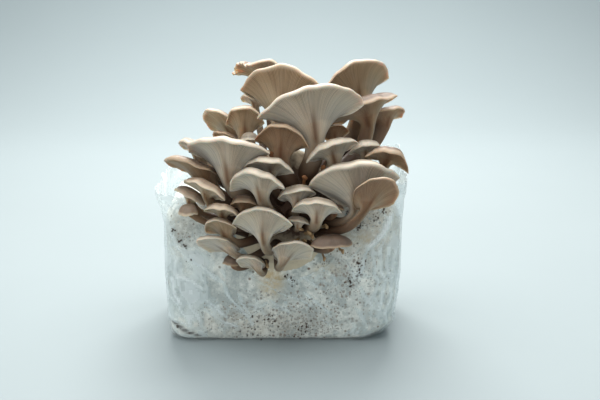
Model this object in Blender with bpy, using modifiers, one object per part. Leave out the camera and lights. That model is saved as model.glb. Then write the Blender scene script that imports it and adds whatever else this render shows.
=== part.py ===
"""Oyster mushroom grow bag: a film bag round a block of mycelium, fruiting from the front.

Metres, +Z up. The origin is the middle of the flat bottom of the bag, +X is to the right
and the mushrooms come out of the front, towards -Y. The tables below are in millimetres.
"""
import math
from dataclasses import dataclass

import bpy
import bmesh
import numpy as np

MM = 0.001

# Bag and block, in millimetres
BAG_HALF_WIDTH = 100.0
BAG_HALF_DEPTH = 60.0
CORNER_RADIUS = 18.0
FILM_THICKNESS = 0.6
BLOCK_INSET = 1.6
BLOCK_LIFT = 0.9
BLOCK_TOP = 128.0
FRONT_SEGMENTS = 12
BACK_SEGMENTS = 5
SIDE_SEGMENTS = 3
CORNER_SEGMENTS = 3

# Half width to the left, half width to the right and half depth of the bag, by height
HEIGHT_KNOTS = (0.0, 2.0, 6.0, 14.0, 60.0, 105.0, 150.0)
LEFT_KNOTS = (96.0, 99.0, 101.0, 102.0, 103.5, 103.5, 114.0)
RIGHT_KNOTS = (70.0, 80.0, 90.0, 98.0, 103.5, 104.0, 108.0)
DEPTH_KNOTS = (56.0, 58.5, 60.0, 61.0, 62.0, 61.0, 62.0)
FILM_LOWER_HEIGHTS = (0.0, 2.0, 6.0, 14.0)
FILM_UPPER_SHARES = (0.3, 0.64, 1.0)
BLOCK_HEIGHTS = (0.0, 2.0, 6.0, 14.0, 60.0, 105.0)
BLOCK_SHOULDER = ((117.0, 3.0), (124.0, 10.0), (127.0, 24.0))

# The opening in the front of the film, where the mushrooms come out
OPENING_CENTRE = (0.0, 108.0)
OPENING_HALF_WIDTH = 54.0
OPENING_DEPTH = 50.0
LEFT_FILM_TOP = 132.0
RIGHT_FILM_TOP = 142.0
BACK_FILM_TOP = 150.0

# The solid mass that every stem grows from
BASE_CENTRE = (0.0, -50.0, 115.5)
BASE_RADII = (46.0, 23.5, 56.5)
BASE_SEGMENTS = 16
BASE_RINGS = 8
CUT_GAP = 0.3

# Colours as linear RGB
FILM_COLOUR = (0.42, 0.50, 0.51)
BLOCK_COLOUR = (0.36, 0.37, 0.33)
BASE_COLOUR = (0.09, 0.06, 0.04)
CAP_COLOURS = {
    "pale": (0.32, 0.31, 0.27),
    "warm": (0.30, 0.24, 0.18),
    "brown": (0.15, 0.09, 0.05),
}


@dataclass(frozen=True)
class Detail:
    """How finely a mushroom is lofted: points round a ring, and rings by region."""

    around: int
    stem: int
    flare: int
    top: int


DETAILS = {
    "large": Detail(13, 3, 4, 2),
    "medium": Detail(10, 3, 3, 1),
    "small": Detail(8, 2, 3, 1),
}


@dataclass(frozen=True)
class Mushroom:
    """One mushroom, in millimetres and degrees.

    hub is where the stem meets the cap and root is where the stem leaves the base. turn is
    the cap's heading (0 to the front, positive to the right), rise lifts its front edge and
    roll lifts its right edge. reach is the cap's length ahead of the hub and back behind it.
    """

    name: str
    hub: tuple
    root: tuple
    turn: float
    rise: float
    roll: float
    width: float
    reach: float
    back: float
    stem: float
    flare: float
    side_sag: tuple = (2.0, 2.0)
    front_sag: float = 2.0
    lip: float = 2.0
    crown: float = 1.5
    dip: float = 2.5
    fan: float = 0.85
    twist: float = 0.0
    wave: float = 0.0
    waves: int = 3
    size: str = "medium"
    colour: str = "pale"


MUSHROOMS = (
    # Behind and above
    Mushroom("mushroom_01", (-11, 13, 221), (-3, -36, 138), -12, 30, 0, 60, 44, 8, 5, 16,
             side_sag=(0, 2), front_sag=1, lip=3, fan=0.7, wave=2, waves=5, size="large",
             colour="warm"),
    Mushroom("mushroom_02", (1, -20, 197), (-4, -50, 140), 2, 58, -9, 76, 52, 8, 8, 28,
             side_sag=(0, 4), front_sag=1, lip=6, wave=1, waves=4, size="large", colour="warm"),
    Mushroom("mushroom_03", (21.5, -50.5, 192), (16, -58, 140), 8, 48, 8, 91, 52, 7, 8, 30,
             side_sag=(3, 3), lip=6, size="large"),
    Mushroom("mushroom_04", (60, 10, 206), (25, -45, 142), 18, 52, 9, 64, 48, 8, 7, 24,
             side_sag=(0, 2), lip=5, size="large", colour="warm"),
    Mushroom("mushroom_05", (67, -22.5, 199), (33, -56, 138), 8, 25, 22, 66, 30, 11, 6.2, 21,
             side_sag=(3, 2), front_sag=1, lip=4, crown=5, dip=1, fan=0.6, twist=0.2,
             size="large", colour="brown"),
    Mushroom("mushroom_06", (85.5, 5, 188), (36, -42, 133), 45, 32, -10, 37, 26, 8, 7, 12, lip=3,
             colour="brown"),
    Mushroom("mushroom_07", (43.5, -43, 180), (26, -54, 142), 5, 52, 10, 24, 18, 5, 2.6, 8,
             lip=1.5, fan=0.4, size="small", colour="brown"),
    Mushroom("mushroom_08", (-40, -9, 174), (-18, -46, 138), -55, 42, 25, 34, 40, 6, 4.5, 12,
             side_sag=(1, 1), front_sag=1, lip=4, colour="warm"),
    Mushroom("mushroom_09", (-31, -40, 187), (-7, -56, 136), -6, 48, 4, 33, 30, 10, 6, 15,
             front_sag=1, lip=5, colour="warm"),
    Mushroom("mushroom_10", (-41, -24, 170), (-26, -54, 134), -58, 36, 20, 24, 24, 5, 4, 8,
             side_sag=(1, 1), front_sag=1, size="small", colour="brown"),
    Mushroom("mushroom_11", (-23, 1, 202), (-12, -42, 142), -45, 32, 8, 20, 18, 5, 3, 8,
             side_sag=(1, 1), front_sag=1, lip=3, size="small"),
    # The middle tier, left to right
    Mushroom("mushroom_12", (2, -64, 174), (10, -64, 138), -8, 46, -3, 46, 35, 8, 7.2, 18,
             side_sag=(2, 4), lip=5, colour="brown"),
    Mushroom("mushroom_13", (-26, -60, 182), (-12, -60, 138), -20, 14, 6, 16, 12, 4, 4, 9,
             side_sag=(1, 1), front_sag=1, crown=3, dip=0, fan=0.4, size="small"),
    Mushroom("mushroom_14", (-36.5, -72, 164), (-16, -69, 135), -28, 35, 5, 76, 46, 8, 7.5, 27,
             side_sag=(-1, -1), front_sag=1, lip=5.5, size="large"),
    Mushroom("mushroom_15", (-66, -46, 167), (-34, -55, 134), -50, 32, 8, 32, 26, 6, 5.2, 12,
             side_sag=(1, 1), front_sag=1, lip=4),
    Mushroom("mushroom_16", (-56.5, -64, 150.5), (-22, -60, 120), -58, 27, 12, 44, 48, 8, 7.2,
             16, side_sag=(1, 1), lip=4.5, colour="brown"),
    Mushroom("mushroom_17", (-60, -89, 142), (-25, -67, 111), -22, 38, -16, 42, 22, 9, 3.2, 7,
             side_sag=(1, 1), lip=4, crown=3, dip=1, colour="warm"),
    Mushroom("mushroom_18", (-74, -70, 133), (-34, -62, 107), -24, 30, -20, 33, 18, 7, 3.6, 8,
             side_sag=(1, 1), lip=4, crown=3, dip=1, colour="warm"),
    Mushroom("mushroom_19", (-76, -85, 127), (-30, -65, 99), -30, 0, 0, 18, 11, 5, 2.8, 7,
             side_sag=(1, 1), crown=3, dip=0, fan=0.4, size="small", colour="warm"),
    Mushroom("mushroom_20", (40, -71, 171), (23, -65, 134), 0, 28, 20, 46, 34, 8, 6, 12,
             side_sag=(3, 2), lip=5),
    Mushroom("mushroom_21", (70, -47, 168), (33, -62, 127), 0, 26, 6, 28, 30, 8, 4.6, 11,
             side_sag=(2, 1), lip=5),
    Mushroom("mushroom_22", (86, -66, 166), (41, -60, 119), 14, 28, -12, 38, 26, 8, 4.2, 10,
             side_sag=(3, 12), lip=5, colour="brown"),
    # The lower tier, left to right
    Mushroom("mushroom_23", (-47, -92, 126), (-19, -69, 105), -8, 28, -6, 30, 24, 6, 3, 8, lip=4,
             colour="warm"),
    Mushroom("mushroom_24", (-30, -88, 131), (-14, -71, 116), -6, 32, 0, 24, 18, 7, 3.5, 9,
             lip=4, crown=4, dip=1, fan=0.4, colour="brown"),
    Mushroom("mushroom_25", (-14, -95, 149), (-5, -72, 118), -25, 34, 7, 48, 34, 8, 5.4, 16,
             side_sag=(7, 7), lip=5.5, size="large"),
    Mushroom("mushroom_26", (-8, -84, 158), (-1, -71, 129), -10, 33, -2, 42, 32, 7, 3.6, 7,
             lip=5),
    Mushroom("mushroom_27", (11, -85, 138), (6, -71, 118), 10, 34, 3, 32, 20, 7, 3.8, 13,
             side_sag=(2, 1), lip=4, crown=3, dip=1, fan=0.4),
    Mushroom("mushroom_28", (59.5, -77, 130), (31, -65, 110), -3, 53, 3, 74, 52, 6, 4.8, 16,
             side_sag=(-1, -8), front_sag=3, lip=8, crown=6, size="large"),
    Mushroom("mushroom_29", (66, -103, 135), (30, -66, 99), 50, 46, -35, 38, 38, 6, 3.6, 10,
             lip=3, fan=0.4, colour="brown"),
    Mushroom("mushroom_30", (29, -95, 127.5), (19, -69, 110), 0, 39, -3, 42, 22, 8, 5, 11, lip=4,
             crown=4, dip=1),
    Mushroom("mushroom_31", (42.5, -84, 127), (28, -66, 119), 15, 25, 0, 17, 10, 5, 2.8, 7,
             side_sag=(1, 1), dip=0, fan=0.4, size="small", colour="brown"),
    Mushroom("mushroom_32", (14, -92, 118.8), (10, -71, 110), -8, 24, -6, 20, 11, 5, 2.8, 7,
             side_sag=(1, 1), front_sag=1, dip=0, fan=0.4, size="small"),
    Mushroom("mushroom_33", (2.4, -90, 117.5), (2, -72, 111), -20, 8, -30, 16, 9, 5, 2.6, 6,
             side_sag=(1, 1), front_sag=1, crown=1, dip=0, fan=0.4, size="small",
             colour="brown"),
    Mushroom("mushroom_34", (40, -97, 103), (19, -68, 91), 12, -4, 0, 36, 12, 7, 4, 9,
             side_sag=(1, 1), front_sag=1, lip=1.6, crown=4, dip=0, fan=0.4, colour="brown"),
    # The lowest, against the block
    Mushroom("mushroom_35", (-44, -87, 108), (-18, -66, 96), -40, 36, 20, 30, 26, 6, 3.8, 8,
             front_sag=1, lip=3.5, colour="warm"),
    Mushroom("mushroom_36", (-39, -89, 94), (-11, -63, 85), -62, 22, 38, 25, 36, 4, 3.2, 8,
             side_sag=(1, 1), front_sag=1, lip=3.5),
    Mushroom("mushroom_37", (-13, -96, 111), (-2, -61, 92), -16, 49, 6, 50, 34, 8, 4.3, 15,
             side_sag=(2, 3), front_sag=1, lip=4.5, size="large"),
    Mushroom("mushroom_38", (-1, -87, 85.5), (-4, -62, 77), 44, 35, -26, 38, 34, 3, 3.6, 9,
             side_sag=(1, 1), front_sag=1, lip=3, fan=0.5),
    Mushroom("mushroom_39", (-18, -87, 78.5), (-14, -62, 75), -50, 30, 26, 22, 25, 3, 2.6, 8,
             side_sag=(1, 1), front_sag=1, lip=3, fan=0.5),
    Mushroom("mushroom_40", (-40, -79, 80), (-18, -62, 77), -40, 10, 0, 15, 12, 5, 2.8, 7,
             side_sag=(1, 1), front_sag=1, crown=4, dip=0, fan=0.2, size="small",
             colour="brown"),
)


def unit(vector):
    """Return a vector scaled to length 1."""
    return vector / np.linalg.norm(vector)


def ease(share):
    """Return a share between 0 and 1 with a soft start and end."""
    share = np.clip(share, 0.0, 1.0)
    return share * share * (3.0 - 2.0 * share)


def bezier(start, first, second, end, share):
    """Return the point of a cubic Bezier curve at a share of its length."""
    rest = 1.0 - share
    near = rest ** 3 * start + 3.0 * rest ** 2 * share * first
    return near + 3.0 * rest * share ** 2 * second + share ** 3 * end


def cap_axes(mushroom):
    """Return the cap's forward, sideways and upward directions."""
    turn = math.radians(mushroom.turn)
    rise = math.radians(mushroom.rise)
    roll = math.radians(mushroom.roll)
    level = math.cos(rise)
    forward = np.array([math.sin(turn) * level, -math.cos(turn) * level, math.sin(rise)])
    side = np.array([math.cos(turn), math.sin(turn), 0.0])
    upward = unit(np.cross(forward, side))
    rolled_side = side * math.cos(roll) + upward * math.sin(roll)
    rolled_up = upward * math.cos(roll) - side * math.sin(roll)
    return forward, rolled_side, rolled_up


def cap_outline(mushroom, angles):
    """Return the outline's sideways and forward distances from the hub, oval or fan-shaped."""
    bow = np.abs(np.sin(angles))
    swing = np.arccos(np.cos(angles)) / (math.pi / 2.0)
    straight = np.where(swing < 1.0, (swing + bow) / 2.0, 1.0 + np.cos(angles))
    across = (bow + (straight - bow) * mushroom.fan) * np.sign(np.sin(angles))
    length = (mushroom.reach + mushroom.back) / 2.0
    ahead = length * np.cos(angles) + (mushroom.reach - mushroom.back) / 2.0
    return mushroom.width / 2.0 * across, ahead


def cap_bend(mushroom, sideways, ahead, share, angles):
    """Return how far the cap sags, twists and waves out of its plane."""
    across = sideways / (mushroom.width / 2.0)
    along = ahead / mushroom.reach
    left_sag, right_sag = mushroom.side_sag
    height = -np.where(across < 0.0, left_sag, right_sag) * across ** 2
    height = height - mushroom.front_sag * np.clip(along, 0.0, None) ** 2
    height = height - mushroom.twist * across * along * mushroom.width / 4.0
    height = height + mushroom.wave * share ** 2 * np.sin(mushroom.waves * angles)
    return height - 2.0 * share ** 6


def top_height(mushroom, share):
    """Return how high the cap's top is above its plane, at a share of the way out."""
    rest = 1.0 - share
    return 0.6 * mushroom.lip * rest + mushroom.crown * (1.0 - share ** 4) - mushroom.dip * rest ** 2


def stem_rings(mushroom, angles, count, side, direction, forward, upward):
    """Return rings of points up the stem, from the root to the neck."""
    hub = np.array(mushroom.hub, float)
    root = np.array(mushroom.root, float)
    setback = min(0.6 * mushroom.flare, mushroom.back - 1.2 * mushroom.stem)
    neck = hub - upward * 0.8 * mushroom.flare - forward * max(setback, 0.0)
    span = np.linalg.norm(neck - root)
    first = root + (neck - root) * 0.35
    second = neck - direction * span * 0.4
    across = forward * (direction @ upward) - upward * (direction @ forward)
    reference = unit(across - (across @ direction) * direction)
    rings = []
    for share in np.linspace(1.0, 0.0, count):
        centre = bezier(root, first, second, neck, share)
        before = bezier(root, first, second, neck, share - 0.01)
        after = bezier(root, first, second, neck, share + 0.01)
        tangent = unit(after - before)
        reference = unit(reference - (reference @ tangent) * tangent)
        other = np.cross(tangent, reference)
        other = other if other @ side > 0.0 else -other
        circle = np.outer(np.cos(angles), reference) + np.outer(np.sin(angles), other)
        rings.append(centre + mushroom.stem * circle)
    return rings[::-1]


def mushroom_rings(mushroom, detail):
    """Return the loft's rings from the root to the middle of the cap's top, and its top point."""
    forward, side, upward = cap_axes(mushroom)
    axes = np.stack([side, forward, upward])
    hub = np.array(mushroom.hub, float)
    angles = np.linspace(0.0, 2.0 * math.pi, detail.around, endpoint=False)
    direction = unit(unit(forward + upward) + unit(hub - np.array(mushroom.root, float)))
    rings = stem_rings(mushroom, angles, detail.stem, side, direction, forward, upward)
    sideways, ahead = cap_outline(mushroom, angles)
    margin = np.stack([sideways, ahead, np.zeros_like(ahead)], axis=1)
    outward = margin / np.linalg.norm(margin, axis=1)[:, None]
    neck = (rings[-1] - hub) @ axes.T
    gap = np.linalg.norm(margin - neck, axis=1)[:, None]
    first = neck + axes @ direction * gap * 0.35
    inward = 0.15 + 0.3 * (1.0 + np.cos(angles)) / 2.0
    second = margin - outward * gap * inward[:, None]

    def placed(points, weight, share):
        height = cap_bend(mushroom, points[:, 0], points[:, 1], share, angles)
        lifted = points + np.outer(weight * height, (0.0, 0.0, 1.0))
        return hub + lifted @ axes

    for step in range(1, detail.flare + 1):
        share = step / detail.flare
        rings.append(placed(bezier(neck, first, second, margin, share), ease(share * 1.6), share))
    lip = mushroom.lip * (0.35 + 0.65 * np.clip(np.cos(angles), 0.0, 1.0) ** 0.8)
    edge = margin + outward * (lip * 0.075)[:, None]
    edge[:, 2] = lip * 0.5
    rings.append(placed(edge, 1.0, 1.0))
    for step in range(detail.top):
        share = 0.92 * (1.0 - step / detail.top)
        top = margin * share
        top[:, 2] = lip * share + top_height(mushroom, share)
        rings.append(placed(top, 1.0, share))
    peak = hub + upward * top_height(mushroom, 0.0)
    return rings, peak


def mesh_from_rings(name, rings, first_point=None, last_point=None):
    """Loft a list of equal rings; an end is a fan to its point, or left open."""
    mesh = bpy.data.meshes.new(name)
    work = bmesh.new()
    rows = [[work.verts.new(point * MM) for point in ring] for ring in rings]
    around = len(rows[0])
    for lower, upper in zip(rows, rows[1:]):
        for index in range(around):
            after = (index + 1) % around
            work.faces.new((lower[index], lower[after], upper[after], upper[index]))
    for row, point in ((rows[0], first_point), (rows[-1], last_point)):
        if point is None:
            continue
        tip = work.verts.new(point * MM)
        for index in range(around):
            work.faces.new((tip, row[(index + 1) % around], row[index]))
    bmesh.ops.recalc_face_normals(work, faces=work.faces)
    bmesh.ops.triangulate(work, faces=work.faces)
    work.to_mesh(mesh)
    work.free()
    mesh.shade_smooth()
    return mesh


def new_material(name, colour, roughness, alpha=1.0):
    """Return a Principled material."""
    material = bpy.data.materials.new(name)
    material.use_nodes = True
    shader = material.node_tree.nodes["Principled BSDF"]
    shader.inputs["Base Color"].default_value = (*colour, 1.0)
    shader.inputs["Roughness"].default_value = roughness
    shader.inputs["Metallic"].default_value = 0.0
    shader.inputs["Alpha"].default_value = alpha
    return material


def new_object(name, mesh, collection, parent=None):
    """Link a mesh into a collection as a named object."""
    item = bpy.data.objects.new(name, mesh)
    item.parent = parent
    collection.objects.link(item)
    return item


def cut(item, cutter):
    """Cut one object with another, with an exact Boolean."""
    boolean = item.modifiers.new("clear of the base", "BOOLEAN")
    boolean.operation = "DIFFERENCE"
    boolean.solver = "EXACT"
    boolean.object = cutter


def wall_columns():
    """Return the plan of the bag: points round a rounded rectangle, from the front left."""
    reach_x = BAG_HALF_WIDTH - CORNER_RADIUS
    reach_y = BAG_HALF_DEPTH - CORNER_RADIUS
    sides = (
        ((-reach_x, -reach_y), (reach_x, -reach_y), -90.0, FRONT_SEGMENTS),
        ((reach_x, -reach_y), (reach_x, reach_y), 0.0, SIDE_SEGMENTS),
        ((reach_x, reach_y), (-reach_x, reach_y), 90.0, BACK_SEGMENTS),
        ((-reach_x, reach_y), (-reach_x, -reach_y), 180.0, SIDE_SEGMENTS),
    )
    points = []
    for start, end, facing, segments in sides:
        out = CORNER_RADIUS * np.array([math.cos(math.radians(facing)), math.sin(math.radians(facing))])
        for step in range(segments + 1):
            points.append(np.array(start) + (np.array(end) - np.array(start)) * step / segments + out)
        for step in range(1, CORNER_SEGMENTS):
            angle = math.radians(facing + 90.0 * step / CORNER_SEGMENTS)
            points.append(np.array(end) + CORNER_RADIUS * np.array([math.cos(angle), math.sin(angle)]))
    return points


def wall_point(column, height, inset=0.0):
    """Return the point of the bag's outer wall at a column of its plan and a height."""
    x, y = column
    knots = LEFT_KNOTS if x < 0.0 else RIGHT_KNOTS
    half_width = np.interp(height, HEIGHT_KNOTS, knots) - inset
    half_depth = np.interp(height, HEIGHT_KNOTS, DEPTH_KNOTS) - inset
    return np.array([x * half_width / BAG_HALF_WIDTH, y * half_depth / BAG_HALF_DEPTH, height])


def film_top(column):
    """Return the height of the film's upper edge at a column of the plan."""
    x, y = column
    back = ease((y + BAG_HALF_DEPTH) / (2.0 * BAG_HALF_DEPTH))
    across = ease((x + BAG_HALF_WIDTH) / 200.0)
    side_top = LEFT_FILM_TOP + (RIGHT_FILM_TOP - LEFT_FILM_TOP) * across
    rim = side_top + (BACK_FILM_TOP - side_top) * back * across
    if y > -BAG_HALF_DEPTH + 1.0:
        return rim
    centre_x, centre_z = OPENING_CENTRE
    away = abs(x - centre_x) / OPENING_HALF_WIDTH
    if away < 1.0:
        return centre_z - OPENING_DEPTH * math.sqrt(1.0 - away ** 2)
    return centre_z + (rim - centre_z) * ease((away - 1.0) / 0.45)


def make_bag(collection, parent):
    """Make the film bag: an open surface with a flat bottom, thickened inwards."""
    columns = wall_columns()
    tops = [film_top(column) for column in columns]
    lowest = FILM_LOWER_HEIGHTS[-1]
    rings = [[wall_point(column, height) for column in columns] for height in FILM_LOWER_HEIGHTS]
    for share in FILM_UPPER_SHARES:
        heights = [lowest + (top - lowest) * share for top in tops]
        rings.append([wall_point(column, height) for column, height in zip(columns, heights)])
    mesh = mesh_from_rings("bag", rings, first_point=np.zeros(3))
    bag = new_object("bag", mesh, collection, parent)
    film = bag.modifiers.new("film", "SOLIDIFY")
    film.thickness = FILM_THICKNESS * MM
    film.offset = -1.0
    film.use_even_offset = True
    bag.data.materials.append(new_material("Film", FILM_COLOUR, 0.35, alpha=0.5))
    return bag


def make_block(collection, parent, cutter):
    """Make the block of mycelium inside the film, hollowed where the base sits."""
    columns = wall_columns()
    lift = np.array([0.0, 0.0, BLOCK_LIFT])
    rings = []
    for height in BLOCK_HEIGHTS:
        rings.append([wall_point(column, height, BLOCK_INSET) + lift for column in columns])
    for height, inset in BLOCK_SHOULDER:
        low = BLOCK_HEIGHTS[-1]
        ring = [wall_point(column, low, BLOCK_INSET + inset) for column in columns]
        rings.append([point + np.array([0.0, 0.0, height - low]) for point in ring])
    bottom = np.array([0.0, 0.0, BLOCK_LIFT])
    mesh = mesh_from_rings("substrate_block", rings, bottom, np.array([0.0, 0.0, BLOCK_TOP]))
    block = new_object("substrate_block", mesh, collection, parent)
    block.data.materials.append(new_material("Mycelium", BLOCK_COLOUR, 0.85))
    cut(block, cutter)
    return block


def make_base(name, gap, collection, parent):
    """Make the mass that the stems grow from, larger by a gap when it is a cutter."""
    mesh = bpy.data.meshes.new(name)
    work = bmesh.new()
    bmesh.ops.create_uvsphere(work, u_segments=BASE_SEGMENTS, v_segments=BASE_RINGS, radius=1.0)
    for vertex in work.verts:
        for axis in range(3):
            vertex.co[axis] *= (BASE_RADII[axis] + gap) * MM
    work.to_mesh(mesh)
    work.free()
    mesh.shade_smooth()
    item = new_object(name, mesh, collection, parent)
    item.location = [value * MM for value in BASE_CENTRE]
    return item


def make_mushroom(mushroom, collection, parent, cutter):
    """Make one mushroom, its stem ending a hair outside the base."""
    rings, peak = mushroom_rings(mushroom, DETAILS[mushroom.size])
    mesh = mesh_from_rings(mushroom.name, rings, rings[0].mean(axis=0), peak)
    item = new_object(mushroom.name, mesh, collection, parent)
    colour = CAP_COLOURS[mushroom.colour]
    item.data.materials.append(new_material(f"{mushroom.name} flesh", colour, 0.6))
    cut(item, cutter)
    return item


def main():
    """Clear the scene and build the whole object."""
    for item in list(bpy.data.objects):
        bpy.data.objects.remove(item)
    parts = bpy.data.collections.new("oyster_mushroom_grow_bag")
    cutters = bpy.data.collections.new("cutters")
    bpy.context.scene.collection.children.link(parts)
    bpy.context.scene.collection.children.link(cutters)
    origin = bpy.data.objects.new("grow_bag_origin", None)
    parts.objects.link(origin)

    cutter = make_base("base_cutter", CUT_GAP, cutters, origin)
    cutter.hide_render = True
    cutter.display_type = "WIRE"
    base = make_base("cluster_base", 0.0, parts, origin)
    base.data.materials.append(new_material("Cluster base", BASE_COLOUR, 0.8))

    make_bag(parts, origin)
    make_block(parts, origin, cutter)
    for mushroom in MUSHROOMS:
        make_mushroom(mushroom, parts, origin, cutter)


if __name__ == "__main__":
    main()
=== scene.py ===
"""Oyster mushroom grow bag, dressed: gilled mushrooms, a mycelium block and crinkled film.

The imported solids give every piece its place. Metres, +Z up, and the mushrooms grow out of
the front, towards -Y. The tables are in millimetres and degrees, and the script turns them
into metres when it makes a mesh.
"""
import logging
import math
from dataclasses import dataclass
from enum import Enum
from typing import Optional, Sequence

import bmesh
import bpy
import numpy as np
from mathutils import Matrix, Vector


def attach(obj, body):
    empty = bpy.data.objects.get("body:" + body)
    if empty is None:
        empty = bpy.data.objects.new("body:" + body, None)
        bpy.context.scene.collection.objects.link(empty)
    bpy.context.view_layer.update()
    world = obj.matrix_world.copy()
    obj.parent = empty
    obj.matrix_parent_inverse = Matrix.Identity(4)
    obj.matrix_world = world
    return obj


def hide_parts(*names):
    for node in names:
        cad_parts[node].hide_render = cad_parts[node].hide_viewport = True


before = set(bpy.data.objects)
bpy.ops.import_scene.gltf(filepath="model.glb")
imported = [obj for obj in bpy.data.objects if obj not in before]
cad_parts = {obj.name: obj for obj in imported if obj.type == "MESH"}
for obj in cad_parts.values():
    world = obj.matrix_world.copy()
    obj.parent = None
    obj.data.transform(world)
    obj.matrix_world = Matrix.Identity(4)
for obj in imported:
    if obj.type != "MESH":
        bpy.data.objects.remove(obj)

MM = 0.001
FULL_TURN = 2.0 * math.pi
BODY = "root"
LOG = logging.getLogger("grow_bag")

Point = tuple[float, float, float]
Socket = bpy.types.NodeSocket

# Kinds of node, and the places of a Mix node's sockets when it mixes colours
MATH = "ShaderNodeMath"
VECTOR_MATH = "ShaderNodeVectorMath"
RANGE = "ShaderNodeMapRange"
NOISE = "ShaderNodeTexNoise"
BUMP = "ShaderNodeBump"
MIX = "ShaderNodeMix"
SHARE, FIRST, SECOND, MIXED = 0, 6, 7, 2


# Small tools


def linear(code: str) -> tuple[float, ...]:
    """Turn an sRGB hex colour into linear RGBA.

    Args:
        code: The colour, such as "#d9d0c2".

    Returns:
        Red, green, blue and an alpha of 1, as Blender's sockets take them.
    """
    values = [int(code[start:start + 2], 16) / 255.0 for start in (1, 3, 5)]
    curve = [v / 12.92 if v <= 0.04045 else ((v + 0.055) / 1.055) ** 2.4 for v in values]
    return (*curve, 1.0)


def pattern_scale(size: float) -> float:
    """Return the scale of a pattern whose features are a size in millimetres."""
    return 1.0 / (size * MM)


def unit(vectors: np.ndarray) -> np.ndarray:
    """Return a vector, or each row of an array of them, scaled to length 1."""
    return vectors / np.linalg.norm(vectors, axis=-1, keepdims=True)


def circle(count: int) -> np.ndarray:
    """Return the angles of equal steps round a circle, in radians."""
    return np.linspace(0.0, FULL_TURN, count, endpoint=False)


def ease(share: np.ndarray | float) -> np.ndarray | float:
    """Return a share between 0 and 1 with a soft start and end."""
    share = np.clip(share, 0.0, 1.0)
    return share * share * (3.0 - 2.0 * share)


def bezier(points: Sequence[np.ndarray], share: float) -> np.ndarray:
    """Return a point of a cubic Bezier curve, or of several side by side.

    Args:
        points: The start, the two handles and the end.
        share: How far along the point is, from 0 to 1.

    Returns:
        The point.
    """
    start, first, second, end = points
    rest = 1.0 - share
    near = rest ** 3 * start + 3.0 * rest ** 2 * share * first
    return near + 3.0 * rest * share ** 2 * second + share ** 3 * end


def ripple(angles: np.ndarray, waves: Sequence[int], rng: np.random.Generator) -> np.ndarray:
    """Return a smooth closed random wave round a ring, about 1 high.

    Args:
        angles: Where to read the wave, in radians.
        waves: How many crests each of its sines has.
        rng: The source of its phases and strengths.

    Returns:
        The wave's height at each angle.
    """
    height = np.zeros_like(angles)
    for count in waves:
        phase, strength = rng.uniform(0.0, FULL_TURN), rng.uniform(0.5, 1.0)
        height += strength * np.sin(count * angles + phase) / math.sqrt(len(waves))
    return height


def loft_mesh(
    name: str,
    rings: np.ndarray,
    start: Optional[np.ndarray] = None,
    end: Optional[np.ndarray] = None,
) -> bpy.types.Mesh:
    """Make a smooth mesh through equal rings of points, with its faces outwards.

    Args:
        name: The mesh's name.
        rings: Points in millimetres, by ring, place in the ring and axis.
        start: The point that closes the first ring, or None to leave it open.
        end: The point that closes the last ring, or None to leave it open.

    Returns:
        The mesh. Its points are the rings' in order, then start, then end.
    """
    count, around = rings.shape[:2]
    points = rings.reshape(-1, 3)
    index = np.arange(count * around).reshape(count, around)
    after = np.roll(index, -1, axis=1)
    quads = np.stack([index[:-1], after[:-1], after[1:], index[1:]], axis=-1).reshape(-1, 4)
    fans = [np.zeros((0, 3), int)]
    for pole, first, second in ((start, after[0], index[0]), (end, index[-1], after[-1])):
        if pole is not None:
            fans.append(np.stack([np.full(around, len(points)), first, second], axis=-1))
            points = np.vstack([points, pole])
    triangles = np.vstack(fans)
    halves = np.vstack([quads[:, :3], quads[:, [0, 2, 3]], triangles])
    corners = points[halves] - points.mean(axis=0)
    volume = np.einsum("ij,ij->i", corners[:, 0], np.cross(corners[:, 1], corners[:, 2])).sum()
    if volume < 0.0:
        quads, triangles = quads[:, ::-1], triangles[:, ::-1]

    mesh = bpy.data.meshes.new(name)
    mesh.vertices.add(len(points))
    mesh.vertices.foreach_set("co", (points * MM).astype(np.float32).ravel())
    mesh.loops.add(quads.size + triangles.size)
    mesh.loops.foreach_set("vertex_index", np.concatenate([quads.ravel(), triangles.ravel()]))
    triangle_starts = quads.size + np.arange(len(triangles)) * 3
    starts = np.concatenate([np.arange(len(quads)) * 4, triangle_starts])
    mesh.polygons.add(len(starts))
    mesh.polygons.foreach_set("loop_start", starts)
    mesh.update(calc_edges=True)
    mesh.shade_smooth()
    return mesh


def set_attribute(mesh: bpy.types.Mesh, name: str, values: np.ndarray) -> None:
    """Store one number a point on a mesh, as the materials and trees read it by name."""
    layer = mesh.attributes.new(name, "FLOAT", "POINT")
    layer.data.foreach_set("value", np.asarray(values, np.float32))


def new_object(name: str, data: bpy.types.ID) -> bpy.types.Object:
    """Link a mesh, light or camera into the scene.

    Args:
        name: The object's name.
        data: What it holds.

    Returns:
        The object, at the origin.
    """
    thing = bpy.data.objects.new(name, data)
    bpy.context.scene.collection.objects.link(thing)
    return thing


def hand_over(piece: bpy.types.Object, slot: str, *nodes: str) -> None:
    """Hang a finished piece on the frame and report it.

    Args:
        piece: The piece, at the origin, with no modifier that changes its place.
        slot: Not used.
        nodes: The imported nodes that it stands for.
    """
    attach(piece, BODY)
    if nodes:
        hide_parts(*nodes)
    LOG.info("%s: %d faces", piece.name, len(piece.data.polygons))


class NodeWriter:
    """A node tree while it is being written."""

    def __init__(self, tree: bpy.types.NodeTree) -> None:
        """Start on an empty tree."""
        self.tree = tree

    def add(self, kind: str, inputs: dict, **settings: str) -> bpy.types.bpy_prop_collection:
        """Add a node with its values, links and settings.

        Args:
            kind: The node's type name.
            inputs: What goes into each socket, by name or place: a socket to link, or a value.
            settings: Properties of the node, by name.

        Returns:
            The node's outputs.
        """
        node = self.tree.nodes.new(kind)
        for name, value in settings.items():
            setattr(node, name, value)
        for key, value in inputs.items():
            if isinstance(value, Socket):
                self.tree.links.new(value, node.inputs[key])
            else:
                node.inputs[key].default_value = value
        return node.outputs


# Finishes


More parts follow.
